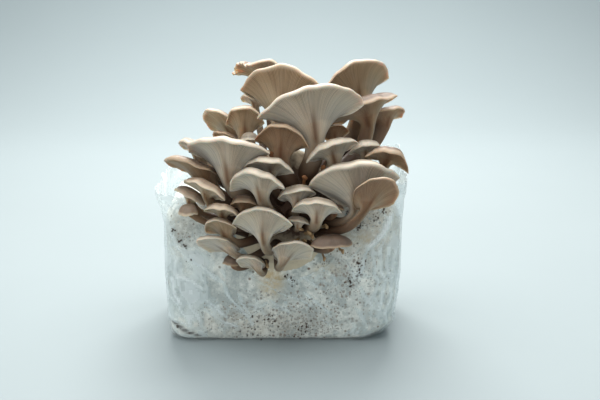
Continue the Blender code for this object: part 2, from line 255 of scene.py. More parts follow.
@dataclass(frozen=True)
class Finish:
    """A finish. Each kind of stuff says what goes into its shader."""

    title: str

    def build(self) -> bpy.types.Material:
        """Make the material.

        Returns:
            The material.
        """
        material = bpy.data.materials.new(self.title)
        material.use_nodes = True
        material.node_tree.nodes.clear()
        nodes = NodeWriter(material.node_tree)
        place = nodes.add("ShaderNodeTexCoord", {})["Object"]
        shader = nodes.add("ShaderNodeBsdfPrincipled", self.surface(nodes, place))[0]
        nodes.add("ShaderNodeOutputMaterial", {"Surface": shader})
        return material

    def surface(self, nodes: NodeWriter, place: Socket) -> dict:
        """Write the pattern.

        Args:
            nodes: The material's tree.
            place: The object coordinates, in metres.

        Returns:
            What goes into the shader's sockets, by name.
        """
        raise NotImplementedError


@dataclass(frozen=True)
class FleshFinish(Finish):
    """Oyster mushroom flesh, grown: moist, satin and a little see-through where it is thin."""

    gill: str
    gap: str
    top: str
    stem: str
    # Painted glow: the pale band at the thin edge stands in for back light shining through it
    edge: str = "#d8ccbb"
    # Painted shade: the brown at the stems' roots, deep in the cluster
    root: str = "#452f20"
    # Painted shade: the brown line down the middle, where the gills crowd onto the stem
    middle_line_shade: str = "#6f4a30"
    roughness: float = 0.55
    glow: float = 0.34
    glow_mm: float = 4.0
    mottle_mm: float = 14.0
    fibre_mm: float = 0.9

    def surface(self, nodes: NodeWriter, place: Socket) -> dict:
        """Write the flesh, from the loft's along, around and blade values and its painted shade
        line.

        Args:
            nodes: The material's tree.
            place: The object coordinates, in metres.

        Returns:
            What goes into the shader's sockets, by name.
        """
        add = nodes.add
        along, around, blade, middle_line_shade = (
            add("ShaderNodeAttribute", {}, attribute_name=name)["Fac"]
            for name in ("along", "around", "blade", "middle_line_shade")
        )
        # Shares that change along the flesh: from where, to where and how far
        root_shade_share, stem_share, skin_share, rim_glow_start, rim_glow_end = (
            add(RANGE, {"Value": along, "From Min": low, "From Max": high, "To Max": most})[0]
            for low, high, most in (
                (0.1, 0.54, 1.0), (0.2, 0.6, 1.0), (1.0, 1.03, 1.0), (0.96, 0.995, 1.0),
                (1.12, 1.03, 0.75))
        )

        # Gills: pale blade edges with brown shade deep between them, some paler than others
        gills = add(MIX, {SHARE: blade, FIRST: linear(self.gap), SECOND: linear(self.gill)},
                    data_type="RGBA")[MIXED]
        comb_place = add("ShaderNodeCombineXYZ", {
            "X": add(MATH, {0: around, 1: 130.0}, operation="MULTIPLY")[0],
            "Y": add(MATH, {0: along, 1: 0.8}, operation="MULTIPLY")[0]})[0]
        comb = add(NOISE, {
            "Vector": comb_place, "Scale": 1.0, "Detail": 2.0, "Roughness": 0.7},
            noise_dimensions="2D")[0]
        comb = add(RANGE, {"Value": comb, "From Min": 0.3, "From Max": 0.6, "To Min": 0.78})[0]
        gills = add(MIX, {SHARE: 1.0, FIRST: gills, SECOND: comb},
                    data_type="RGBA", blend_type="MULTIPLY")[MIXED]
        # Stem: painted shade, brown at the root and on the underside near the stem, where the
        # cluster is deep and dark, paler towards the cap, where the gills take over
        stem = add(MIX, {
            SHARE: root_shade_share, FIRST: linear(self.root), SECOND: linear(self.stem)},
            data_type="RGBA")[MIXED]
        under = add(MIX, {SHARE: stem_share, FIRST: stem, SECOND: gills},
                    data_type="RGBA")[MIXED]
        # Cap skin: mottled as uneven moisture leaves it, with faint streaks out to the edge
        streak_place = add("ShaderNodeCombineXYZ", {
            "X": add(MATH, {0: around, 1: 90.0}, operation="MULTIPLY")[0], "Y": along})[0]
        streaks = add(NOISE, {"Vector": streak_place, "Scale": 1.0, "Detail": 2.0},
                      noise_dimensions="2D")[0]
        mottle = add(NOISE, {
            "Vector": place, "Scale": pattern_scale(self.mottle_mm), "Detail": 4.0,
            "Roughness": 0.6})[0]
        streaks = add(MATH, {0: streaks, 1: 0.35}, operation="MULTIPLY")[0]
        shade = add(MATH, {0: mottle, 1: streaks}, operation="ADD")[0]
        shade = add(RANGE, {
            "Value": shade, "From Min": 0.45, "From Max": 0.95, "To Min": 0.72, "To Max": 1.12})[0]
        skin = add(MIX, {SHARE: 1.0, FIRST: linear(self.top), SECOND: shade},
                   data_type="RGBA", blend_type="MULTIPLY")[MIXED]
        # Painted glow: the thin edge is paler than the rest, as if back light shone through it.
        # Painted shade: a brown line runs down the middle, where the gills meet on the stem
        edge_share = add(MATH, {0: rim_glow_start, 1: rim_glow_end}, operation="MULTIPLY")[0]
        colour = under
        for share, layer in (
            (skin_share, skin), (edge_share, linear(self.edge)), (middle_line_shade, linear(self.middle_line_shade)),
        ):
            colour = add(MIX, {SHARE: share, FIRST: colour, SECOND: layer},
                         data_type="RGBA")[MIXED]
        # Fibres of the flesh, drawn just coarse enough to show
        grain = add(NOISE, {
            "Vector": place, "Scale": pattern_scale(self.fibre_mm), "Detail": 2.0})[0]
        relief = add(BUMP, {"Strength": 0.25, "Distance": 0.2 * MM, "Height": grain})[0]
        return {
            "Base Color": colour, "Roughness": self.roughness, "Subsurface Weight": self.glow,
            "Subsurface Radius": (1.0, 0.5, 0.28), "Subsurface Scale": self.glow_mm * MM,
            "Normal": relief}


class FleshTone(Enum):
    """How warm and dark a mushroom's flesh is: partly its own tone, partly painted shade for the
    mushrooms that sit in the cluster's shadow.
    """

    PALE = "pale_flesh"
    WARM = "warm_flesh"
    BROWN = "brown_flesh"


# Three tones of flesh, partly the mushrooms' own tones and partly painted shade: the browner tones
# go to mushrooms that sit in shadow
FLESH = {
    FleshTone.PALE: FleshFinish(
        "Fresh oyster mushroom flesh", "#e8dac7", "#ae957c", "#968a7b", "#c0aa90"),
    FleshTone.WARM: FleshFinish(
        "Fresh oyster mushroom flesh, warmer", "#d6bd9f", "#957657", "#968270", "#a88a6c",
        "#dac9b3"),
    FleshTone.BROWN: FleshFinish(
        "Browner oyster mushroom flesh with painted shade", "#b8977a", "#6e4f38", "#786557", "#8f755e", "#bfa88e"),
}


@dataclass(frozen=True)
class Spot:
    """A soft patch of colour on the block, in millimetres."""

    centre: Point
    radii: Point
    strength: float = 1.0

    def share(self, nodes: NodeWriter, place: Socket) -> Socket:
        """Write the patch.

        Args:
            nodes: The material's tree.
            place: The object coordinates, in metres.

        Returns:
            A socket that is the patch's strength in its middle and 0 outside it.
        """
        scale = [pattern_scale(radius) for radius in self.radii]
        shift = [-middle * MM * factor for middle, factor in zip(self.centre, scale)]
        moved = nodes.add("ShaderNodeMapping", {
            "Vector": place, "Location": shift, "Scale": scale}, vector_type="POINT")[0]
        away = nodes.add(VECTOR_MATH, {0: moved}, operation="LENGTH")["Value"]
        return nodes.add(RANGE, {
            "Value": away, "From Min": 1.0, "From Max": 0.2, "To Max": self.strength},
            interpolation_type="SMOOTHSTEP")[0]


@dataclass(frozen=True)
class MyceliumFinish(Finish):
    """Mycelium over sawdust, grown: white felt, thin and grey in places, with brown grains."""

    title: str = "Mycelium felt"
    felt: str = "#eef0ea"
    thin: str = "#a0aaa8"
    beige: str = "#bba88c"
    stain: str = "#cfab63"
    grain: str = "#6e5036"
    # Painted shadow: a near-black streak in the pressed fold at the bottom left, along the spots
    # given below
    wet: str = "#2b211a"
    cloud_mm: float = 30.0
    tuft_mm: float = 5.0
    thread_mm: float = 9.0
    # How far apart the grains of each size are, and about which share shows in a patch
    grain_sizes: tuple = ((1.8, 0.9), (3.2, 0.8))
    beige_spots: tuple[Spot, ...] = (
        Spot((66.0, -60.0, 110.0), (78.0, 60.0, 50.0), 0.7),
        Spot((-92.0, -60.0, 104.0), (26.0, 40.0, 16.0), 0.35),
        Spot((-20.0, -60.0, 16.0), (86.0, 60.0, 20.0), 0.45),
    )
    stain_spots: tuple[Spot, ...] = (
        Spot((-10.0, -60.0, 56.0), (17.0, 40.0, 24.0), 0.7),
        Spot((-20.0, -60.0, 70.0), (34.0, 40.0, 7.0), 0.5),
        Spot((40.0, -60.0, 66.0), (22.0, 40.0, 9.0), 0.35),
        Spot((68.0, -60.0, 92.0), (14.0, 40.0, 8.0), 0.4),
    )
    grain_spots: tuple[Spot, ...] = (
        Spot((-2.0, -60.0, 18.0), (96.0, 60.0, 38.0), 1.0),
        Spot((58.0, -60.0, 60.0), (40.0, 60.0, 36.0), 0.9),
        Spot((72.0, -60.0, 112.0), (26.0, 60.0, 20.0), 0.7),
        Spot((-84.0, -60.0, 98.0), (18.0, 60.0, 16.0), 0.35),
        Spot((0.0, 40.0, 40.0), (110.0, 60.0, 46.0), 0.8),
    )
    # Spots along the pressed fold at the bottom left, where the painted shadow goes
    fold_shadow_spots: tuple[Spot, ...] = (
        Spot((-95.0, -52.0, 15.5), (7.0, 40.0, 3.2)),
        Spot((-91.0, -56.0, 12.5), (6.0, 30.0, 3.2)),
        Spot((-86.0, -60.0, 9.5), (6.0, 30.0, 3.0)),
        Spot((-81.0, -60.0, 7.0), (6.0, 30.0, 2.6)),
        Spot((-75.0, -60.0, 5.0), (7.0, 30.0, 2.2)),
    )

    def surface(self, nodes: NodeWriter, place: Socket) -> dict:
        """Write the felt, its patches and the grains that show through it.

        Args:
            nodes: The material's tree.
            place: The object coordinates, in metres.

        Returns:
            What goes into the shader's sockets, by name.
        """
        add = nodes.add

        def joined(spots: Sequence[Spot]) -> Socket:
            """Return the largest share of several patches.

            Args:
                spots: The patches.

            Returns:
                The share.
            """
            largest = spots[0].share(nodes, place)
            for spot in spots[1:]:
                largest = add(MATH, {0: largest, 1: spot.share(nodes, place)},
                              operation="MAXIMUM")[0]
            return largest

        # Clouds where the felt is thin, with tufts and crossing threads within them
        clouds = add(NOISE, {
            "Vector": place, "Scale": pattern_scale(self.cloud_mm), "Detail": 5.0,
            "Roughness": 0.62})[0]
        tufts = add(NOISE, {
            "Vector": place, "Scale": pattern_scale(self.tuft_mm), "Detail": 4.0,
            "Roughness": 0.65})[0]
        threads = add(NOISE, {
            "Vector": place, "Scale": pattern_scale(self.thread_mm), "Detail": 3.0,
            "Distortion": 0.8}, noise_type="RIDGED_MULTIFRACTAL")[0]
        thinness = add(MATH, {0: tufts, 1: 0.8, 2: clouds}, operation="MULTIPLY_ADD")[0]
        thinness = add(MATH, {
            0: add(RANGE, {"Value": thinness, "From Min": 0.74, "From Max": 1.02})[0],
            1: add(RANGE, {"Value": threads, "From Min": 0.2, "From Max": 1.3, "To Min": 1.0,
                           "To Max": 0.25})[0]},
            operation="MULTIPLY")[0]
        colour = add(MIX, {
            SHARE: thinness, FIRST: linear(self.felt), SECOND: linear(self.thin)},
            data_type="RGBA")[MIXED]
        ragged = add(RANGE, {"Value": tufts, "From Min": 0.3, "From Max": 0.62, "To Min": 0.3})[0]
        for spots, code in ((self.beige_spots, self.beige), (self.stain_spots, self.stain)):
            share = add(MATH, {0: joined(spots), 1: ragged}, operation="MULTIPLY")[0]
            colour = add(MIX, {SHARE: share, FIRST: colour, SECOND: linear(code)},
                         data_type="RGBA")[MIXED]
        # Sawdust grains that show through, closer together in the patches
        reach = joined(self.grain_spots)
        bare = add(RANGE, {"Value": clouds, "From Min": 0.3, "From Max": 0.54})[0]
        for size, most in self.grain_sizes:
            away, pick = add("ShaderNodeTexVoronoi", {
                "Vector": place, "Scale": pattern_scale(size), "Randomness": 1.0},
                feature="F1")[:2]
            near = add(RANGE, {
                "Value": add(MATH, {0: tufts, 1: 0.3, 2: away}, operation="MULTIPLY_ADD")[0],
                "From Min": 0.62, "From Max": 0.46})[0]
            picks = add("ShaderNodeSeparateColor", {0: pick})
            limit = add(MATH, {
                0: add(MATH, {0: reach, 1: most, 2: 0.03}, operation="MULTIPLY_ADD")[0],
                1: bare}, operation="MULTIPLY")[0]
            picked = add(MATH, {0: picks[0], 1: limit}, operation="LESS_THAN")[0]
            stuff = add(MIX, {
                SHARE: picks[1], FIRST: linear(self.grain), SECOND: linear(self.thin)},
                data_type="RGBA")[MIXED]
            colour = add(MIX, {
                SHARE: add(MATH, {0: near, 1: picked}, operation="MULTIPLY")[0],
                FIRST: colour, SECOND: stuff}, data_type="RGBA")[MIXED]
        # Painted shadow in the pressed fold at the bottom left
        colour = add(MIX, {
            SHARE: joined(self.fold_shadow_spots), FIRST: colour, SECOND: linear(self.wet)},
            data_type="RGBA")[MIXED]
        relief = add(BUMP, {"Strength": 0.6, "Distance": 0.8 * MM, "Height": tufts})[0]
        return {"Base Color": colour, "Roughness": 0.9, "Sheen Weight": 0.25, "Normal": relief}


@dataclass(frozen=True)
class FilmFinish(Finish):
    """Polypropylene film, blown: clear and glossy, and milkier where it has been creased, partly as
    the film whitens and partly as painted highlight.
    """

    milk: str
    alpha: float
    roughness: float
    crease_mm: float = 11.0

    def surface(self, nodes: NodeWriter, place: Socket) -> dict:
        """Write the clear film, with creases that are finer than the modelled folds.

        Args:
            nodes: The material's tree.
            place: The object coordinates, in metres.

        Returns:
            What goes into the shader's sockets, by name.
        """
        creases = nodes.add(NOISE, {
            "Vector": place, "Scale": pattern_scale(self.crease_mm), "Detail": 3.0,
            "Distortion": 0.4}, noise_type="RIDGED_MULTIFRACTAL")[0]
        relief = nodes.add(BUMP, {"Strength": 0.5, "Distance": 0.9 * MM, "Height": creases})[0]
        return {"Base Color": linear(self.milk), "Roughness": self.roughness, "IOR": 1.49,
                "Alpha": self.alpha, "Normal": relief}


# Steps of milkiness, from clear to crumpled, given face by face by how creased the film is there:
# partly the whitening of creased film, partly painted highlight that stands in for the glints on
# its creases and folds
FILM = (
    FilmFinish("Clear polypropylene film", "#eef2f0", 0.12, 0.24),
    FilmFinish("Handled polypropylene film", "#e8f3f4", 0.22, 0.26),
    FilmFinish("Creased polypropylene film", "#eaf4f6", 0.34, 0.3),
    FilmFinish("Whitened polypropylene film", "#edf6f8", 0.48, 0.33),
    FilmFinish("Crumpled polypropylene film", "#f0f7f9", 0.64, 0.36),
)


@dataclass(frozen=True)
class BaseFinish(Finish):
    """Fused stem bases, grown: dark brown in the middle as painted shade deep in the cluster,
    felted with mycelium round them.
    """

    title: str = "Fused stem bases"
    # Painted shade: the dark brown of the middle, deep in the cluster where little light reaches
    core: str = "#4a3526"
    felt: str = "#d3c4aa"
    core_spot: Spot = Spot((4.0, -60.0, 128.0), (58.0, 90.0, 50.0))
    rag_mm: float = 8.0

    def surface(self, nodes: NodeWriter, place: Socket) -> dict:
        """Write the felt, which ends in rags, round a dark brown middle that is painted shade.

        Args:
            nodes: The material's tree.
            place: The object coordinates, in metres.

        Returns:
            What goes into the shader's sockets, by name.
        """
        rags = nodes.add(NOISE, {
            "Vector": place, "Scale": pattern_scale(self.rag_mm), "Detail": 4.0,
            "Roughness": 0.65})[0]
        share = nodes.add(MATH, {0: rags, 1: 0.9, 2: self.core_spot.share(nodes, place)},
                          operation="MULTIPLY_ADD")[0]
        share = nodes.add(RANGE, {"Value": share, "From Min": 0.5, "From Max": 1.05})[0]
        colour = nodes.add(MIX, {
            SHARE: share, FIRST: linear(self.felt), SECOND: linear(self.core)},
            data_type="RGBA")[MIXED]
        relief = nodes.add(BUMP, {"Strength": 0.7, "Distance": 1.0 * MM, "Height": rags})[0]
        return {"Base Color": colour, "Roughness": 0.8, "Normal": relief}


@dataclass(frozen=True)
class PlainFinish(Finish):
    """A plain matt stuff with soft mottling: dried bits, wet grains or studio paper."""

    light: str
    dark: str
    mottle_mm: float
    roughness: float

    def surface(self, nodes: NodeWriter, place: Socket) -> dict:
        """Write the mottling.

        Args:
            nodes: The material's tree.
            place: The object coordinates, in metres.

        Returns:
            What goes into the shader's sockets, by name.
        """
        mottle = nodes.add(NOISE, {
            "Vector": place, "Scale": pattern_scale(self.mottle_mm), "Detail": 3.0})[0]
        colour = nodes.add(MIX, {
            SHARE: mottle, FIRST: linear(self.dark), SECOND: linear(self.light)},
            data_type="RGBA")[MIXED]
        return {"Base Color": colour, "Roughness": self.roughness}


# Geometry Nodes trees


class GrowthTree(NodeWriter):
    """A Geometry Nodes tree with named inputs, run on a piece and then made plain mesh."""

    def __init__(self, name: str, kinds: dict[str, str]) -> None:
        """Start a tree that takes a geometry, its sizes and its finish.

        Args:
            name: The tree's name.
            kinds: The kind of each size, Int or Float, by the input's name.
        """
        super().__init__(bpy.data.node_groups.new(name, "GeometryNodeTree"))
        add_socket = self.tree.interface.new_socket
        add_socket("Geometry", in_out="OUTPUT", socket_type="NodeSocketGeometry")
        for title, kind in {"Geometry": "Geometry", **kinds, "Finish": "Material"}.items():
            add_socket(title, in_out="INPUT", socket_type=f"NodeSocket{kind}")
        self.given = self.tree.nodes.new("NodeGroupInput").outputs

    def end(self, geometry: Socket) -> None:
        """Close the tree: make instances real and give everything the finish.

        Args:
            geometry: The geometry.
        """
        real = self.add("GeometryNodeRealizeInstances", {0: geometry})[0]
        dressed = self.add("GeometryNodeSetMaterial", {
            "Geometry": real, "Material": self.given["Finish"]})[0]
        self.add("NodeGroupOutput", {0: dressed})

    def end_raised(self, geometry: Socket, height: Socket) -> None:
        """Close the tree after it has moved each point out along its normal.

        Args:
            geometry: The geometry.
            height: How far each point moves, in metres.
        """
        normal = self.add("GeometryNodeInputNormal", {})[0]
        shift = self.add(VECTOR_MATH, {0: normal, "Scale": height}, operation="SCALE")[0]
        self.end(self.add("GeometryNodeSetPosition", {"Geometry": geometry, "Offset": shift})[0])

    def grow(self, piece: bpy.types.Object, values: dict) -> None:
        """Run the tree on a piece and keep the result as its plain mesh, with no modifier.

        Args:
            piece: The piece.
            values: The inputs, by name.
        """
        modifier = piece.modifiers.new(self.tree.name, "NODES")
        modifier.node_group = self.tree
        for item in self.tree.interface.items_tree:
            if item.in_out == "INPUT" and item.name in values:
                modifier[item.identifier] = values[item.name]
        graph = bpy.context.evaluated_depsgraph_get()
        grown = bpy.data.meshes.new_from_object(
            piece.evaluated_get(graph), preserve_all_data_layers=True, depsgraph=graph)
        piece.modifiers.remove(modifier)
        plain = piece.data
        piece.data = grown
        grown.name = piece.name
        bpy.data.meshes.remove(plain)


def gill_tree() -> GrowthTree:
    """Build the tree that cuts gills into the underside of a cap.

    The loft's columns run from the stem out to the edge, four to a pair of gills. The first
    blade of a pair runs down onto the stem, and the second starts half way along the loft.

    Returns:
        The tree. It stores how near each point is to a blade's edge as blade.
    """
    tree = GrowthTree("gills", {"Gill pairs": "Int", "Gap depth": "Float"})
    add = tree.add
    along, around = (
        add("GeometryNodeInputNamedAttribute", {"Name": name}, data_type="FLOAT")["Attribute"]
        for name in ("along", "around")
    )
    turn = add(MATH, {0: around, 1: tree.given["Gill pairs"]}, operation="MULTIPLY")[0]
    waves = []
    for blades in (1.0, 2.0):
        angle = add(MATH, {0: turn, 1: blades * FULL_TURN}, operation="MULTIPLY")[0]
        waves.append(add(MATH, {0: angle}, operation="COSINE")[0])
    second_share, stem_share, edge_share = (
        add(RANGE, {"Value": along, "From Min": low, "From Max": high},
            interpolation_type="SMOOTHSTEP")[0]
        for low, high in ((0.5, 0.66), (0.16, 0.36), (0.995, 0.95))
    )
    # A Mix node takes plain numbers in its sockets 2 and 3
    wave = add(MIX, {SHARE: second_share, 2: waves[0], 3: waves[1]}, data_type="FLOAT")[0]
    blade = add(MATH, {0: wave, 1: 0.5, 2: 0.5}, operation="MULTIPLY_ADD")[0]
    under = add(MATH, {0: stem_share, 1: edge_share}, operation="MULTIPLY")[0]
    below = add(MATH, {0: blade, 1: 1.0}, operation="SUBTRACT")[0]
    depth = add(MATH, {0: below, 1: tree.given["Gap depth"]}, operation="MULTIPLY")[0]
    stored = add("GeometryNodeStoreNamedAttribute", {
        "Geometry": tree.given["Geometry"], "Name": "blade",
        "Value": add(MATH, {0: below, 1: under, 2: 1.0}, operation="MULTIPLY_ADD")[0]},
        data_type="FLOAT")[0]
    tree.end_raised(stored, add(MATH, {0: depth, 1: under}, operation="MULTIPLY")[0])
    return tree


def felt_tree() -> GrowthTree:
    """Build the tree that makes a surface lumpy at two sizes, out and in along its normals.

    Returns:
        The tree.
    """
    sizes = ("Lump size", "Lump height", "Tuft size", "Tuft height", "Seed")
    tree = GrowthTree("felt relief", dict.fromkeys(sizes, "Float"))
    add = tree.add
    place = add("GeometryNodeInputPosition", {})[0]
    height = 0.0
    for kind in ("Lump", "Tuft"):
        scale = add(MATH, {0: 1.0, 1: tree.given[f"{kind} size"]}, operation="DIVIDE")[0]
        noise = add(NOISE, {
            "Vector": place, "W": tree.given["Seed"], "Scale": scale, "Detail": 2.0},
            noise_dimensions="4D")[0]
        wave = add(MATH, {0: noise, 1: 2.0, 2: -1.0}, operation="MULTIPLY_ADD")[0]
        height = add(MATH, {0: wave, 1: tree.given[f"{kind} height"], 2: height},
                     operation="MULTIPLY_ADD")[0]
    tree.end_raised(tree.given["Geometry"], height)
    return tree


def crumb_tree() -> GrowthTree:
    """Build the tree that sets a small uneven crumb on each point of a piece.

    Returns:
        The tree.
    """
    tree = GrowthTree("crumbs", {"Smallest": "Float", "Largest": "Float", "Seed": "Int"})
    add, seed = tree.add, tree.given["Seed"]
    crumb = add("GeometryNodeMeshIcoSphere", {"Radius": 1.0, "Subdivisions": 1})[0]
    turn, shape = (
        add("FunctionNodeRandomValue", {0: low, 1: high, "Seed": seed},
            data_type="FLOAT_VECTOR")[0]
        for low, high in (
            ((0.0, 0.0, 0.0), (6.28, 6.28, 6.28)), ((0.5, 0.5, 0.4), (1.3, 1.0, 0.8)))
    )
    size = add("FunctionNodeRandomValue", {
        2: tree.given["Smallest"], 3: tree.given["Largest"], "Seed": seed},
        data_type="FLOAT")[1]
    scale = add(VECTOR_MATH, {0: shape, "Scale": size}, operation="SCALE")[0]
    tree.end(add("GeometryNodeInstanceOnPoints", {
        "Points": tree.given["Geometry"], "Instance": crumb, "Rotation": turn,
        "Scale": scale})[0])
    return tree


# Mushrooms


@dataclass(frozen=True)
class Fruit:
    """One mushroom's shape, in millimetres and degrees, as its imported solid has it.

    hub is where the stem meets the cap and root is where the stem leaves the base. turn is
    the cap's heading (0 to the front, positive to the right), rise lifts its front edge and
    roll lifts its right edge. reach is the cap's length ahead of the hub and back behind it.
    """

    number: int
    hub: Point
    root: Point
    turn: float
    rise: float
    roll: float
    width: float
    reach: float
    back: float
    stem: float
    flare: float
    side_sag: tuple[float, float] = (2.0, 2.0)
    front_sag: float = 2.0
    lip: float = 2.0
    crown: float = 1.5
    dip: float = 2.5
    fan: float = 0.85
    twist: float = 0.0
    wave: float = 0.0
    waves: int = 3
    tone: FleshTone = FleshTone.PALE
    ragged: float = 0.0

    @property
    def name(self) -> str:
        """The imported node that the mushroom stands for."""
        return f"mushroom_{self.number:02d}"

    def axes(self) -> np.ndarray:
        """Return the cap's directions.

        Returns:
            Rows that point to its right, ahead and up.
        """
        turn, rise, roll = (math.radians(v) for v in (self.turn, self.rise, self.roll))
        level = math.cos(rise)
        ahead = np.array([math.sin(turn) * level, -math.cos(turn) * level, math.sin(rise)])
        side = np.array([math.cos(turn), math.sin(turn), 0.0])
        upward = unit(np.cross(ahead, side))
        rolled_side = side * math.cos(roll) + upward * math.sin(roll)
        return np.stack([rolled_side, ahead, upward * math.cos(roll) - side * math.sin(roll)])

    def outline(self, angles: np.ndarray) -> np.ndarray:
        """Return the outline of the cap in its own plane.

        A fan of 0 is an oval. Towards 1 the sides come to points and run straight to the stem.

        Args:
            angles: Where to read it, in radians from the front.

        Returns:
            Its points.
        """
        bow, swing = np.abs(np.sin(angles)), np.arccos(np.cos(angles)) / (math.pi / 2.0)
        straight = np.where(swing < 1.0, (swing + bow) / 2.0, 1.0 + np.cos(angles))
        sideways = (bow + (straight - bow) * self.fan) * np.sign(np.sin(angles)) * self.width / 2.0
        length = (self.reach + self.back) / 2.0
        ahead = length * np.cos(angles) + (self.reach - self.back) / 2.0
        return np.stack([sideways, ahead, np.zeros_like(ahead)], axis=1)

    def lip_at(self, angles: np.ndarray) -> np.ndarray:
        """Return how thick the edge is at each angle: full in front, thin at the sides."""
        return self.lip * (0.35 + 0.65 * np.clip(np.cos(angles), 0.0, 1.0) ** 0.8)

    def top_height(self, share: float) -> float:
        """Return how high the cap's top is above its plane, at a share of the way out."""
        rest = 1.0 - share
        return 0.6 * self.lip * rest + self.crown * (1.0 - share ** 4) - self.dip * rest ** 2

    def bend(self, points: np.ndarray, share: float, angles: np.ndarray) -> np.ndarray:
        """Return how far the cap sags, twists and waves out of its plane.

        Args:
            points: A ring of the cap's points, in its own plane.
            share: How far out the ring is, from 0 at the hub to 1 at the edge.
            angles: The place of each point round the ring, in radians.

        Returns:
            The height of each point.
        """
        across = points[:, 0] / (self.width / 2.0)
        ahead = points[:, 1] / self.reach
        height = -np.where(across < 0.0, *self.side_sag) * across ** 2
        height = height - self.front_sag * np.clip(ahead, 0.0, None) ** 2
        height = height - self.twist * across * ahead * self.width / 4.0
        height = height + self.wave * share ** 2 * np.sin(self.waves * angles)
        return height - 2.0 * share ** 6


@dataclass
class Mushroom:
    """A mushroom in full detail: a fibrous stem that opens into a gilled cap."""

    form: Fruit
    gill_pitch: float = 1.4
    fewest_pairs: int = 12
    stem_rings: int = 12
    flare_rings: int = 24
    edge_rings: int = 6
    top_rings: int = 14
    # Where the stem opens into the cap, as a share of the way from the root to the edge
    neck_share: float = 0.3
    # How far the stem's outline is uneven, and how much its foot spreads, as shares
    uneven: float = 0.06
    spread: float = 0.12
    # The width of a cap whose edge sways as far as the next two say, in millimetres
    usual_width: float = 60.0
    sway: float = 1.2
    small_sway: float = 0.5
    # How far lobes, a frill and, on a ragged cap, tears move the outline, as shares
    lobes: float = 0.028
    frill: float = 0.006
    tears: float = 0.03
    # The gaps' depth: so much of the lip's thickness and a little more, up to a limit
    gap_share: float = 0.32
    least_gap: float = 0.1
    deepest_gap: float = 1.5
    # How brown the painted shade line down the middle is
    middle_line_shade: float = 0.75

    @property
    def gill_pairs(self) -> int:
        """How many pairs of gills fit round the cap's edge, which is nearly an ellipse."""
        wide, long = self.form.width / 2.0, (self.form.reach + self.form.back) / 2.0
        edge = math.pi * (1.5 * (wide + long) - math.sqrt(wide * long))
        return max(self.fewest_pairs, round(edge / (2.0 * self.gill_pitch)))

    def stem(self, angles: np.ndarray, direction: np.ndarray) -> list[np.ndarray]:
        """Return the stem's rings, from the root to the neck.

        Args:
            angles: The places round each ring, in radians.
            direction: The way the stem points as it meets the cap.

        Returns:
            The rings.
        """
        form = self.form
        side, ahead, upward = form.axes()
        hub, root = np.array(form.hub, float), np.array(form.root, float)
        setback = min(0.6 * form.flare, form.back - 1.2 * form.stem)
        neck = hub - upward * 0.8 * form.flare - ahead * max(setback, 0.0)
        span = np.linalg.norm(neck - root)
        curve = (root, root + (neck - root) * 0.35, neck - direction * span * 0.4, neck)
        across = ahead * (direction @ upward) - upward * (direction @ ahead)
        reference = unit(across - (across @ direction) * direction)
        rng = np.random.default_rng(100 + form.number)
        uneven = self.uneven * ripple(angles, (2, 3, 5), rng)
        rings = []
        for share in np.linspace(1.0, 0.0, self.stem_rings):
            tangent = unit(bezier(curve, share + 0.01) - bezier(curve, share - 0.01))
            reference = unit(reference - (reference @ tangent) * tangent)
            other = np.cross(tangent, reference)
            other = other if other @ side > 0.0 else -other
            around = np.outer(np.cos(angles), reference) + np.outer(np.sin(angles), other)
            near_root = 1.0 - share
            radius = form.stem * (1.0 + self.spread * near_root ** 2) * (1.0 + uneven * near_root)
            rings.append(bezier(curve, share) + radius[:, None] * around)
        return rings[::-1]

    def loft(self) -> tuple[np.ndarray, np.ndarray, np.ndarray, np.ndarray]:
        """Return the whole loft.

        Returns:
            The rings, the cap's top point, how far along its way each ring is (0 at the
            root, 1 at the edge, 2 at the top point) and the share of the painted shade line down
            the middle, by point.
        """
        form = self.form
        axes = form.axes()
        side, ahead, upward = axes
        hub = np.array(form.hub, float)
        angles = circle(4 * self.gill_pairs)
        no_line = np.zeros_like(angles)
        rng = np.random.default_rng(form.number)
        direction = unit(unit(ahead + upward) + unit(hub - np.array(form.root, float)))
        rings = self.stem(angles, direction)
        along = list(np.linspace(0.0, self.neck_share, self.stem_rings))
        middle = [no_line] * self.stem_rings

        size = form.width / self.usual_width
        lobes = self.lobes * ripple(angles, (2, 3, 4, 5, 7), rng)
        frill = self.frill * ripple(angles, (9, 13, 17), rng)
        # Tears are at the left only
        tears = ripple(angles, (11, 16, 23, 31), rng) * ease((-np.sin(angles) - 0.2) / 0.5)
        grown = 1.0 + lobes + frill + self.tears * form.ragged * tears
        margin = form.outline(angles) * grown[:, None]
        sway = self.sway * ripple(angles, (3, 4, 6), rng)
        sway = (sway + self.small_sway * ripple(angles, (8, 11), rng)) * size
        sway = sway + self.sway * form.ragged * tears
        outward = unit(margin)
        lip = form.lip_at(angles)
        neck = (rings[-1] - hub) @ axes.T
        gap = np.linalg.norm(margin - neck, axis=1)[:, None]
        inward = (0.15 + 0.3 * (1.0 + np.cos(angles)) / 2.0)[:, None]
        leave, arrive = axes @ direction * gap * 0.35, outward * gap * inward
        curve = (neck, neck + leave, margin - arrive, margin)

        def placed(points: np.ndarray, weight: float, share: float) -> np.ndarray:
            """Bend points of the cap and put them in their place."""
            height = form.bend(points, share, angles) + sway * share ** 3
            return hub + (points + np.outer(weight * height, (0.0, 0.0, 1.0))) @ axes

        for step in range(1, self.flare_rings + 1):
            share = step / self.flare_rings
            local = bezier(curve, share)
            rings.append(placed(local, ease(share * 1.6), share))
            along.append(self.neck_share + (1.0 - self.neck_share) * share)
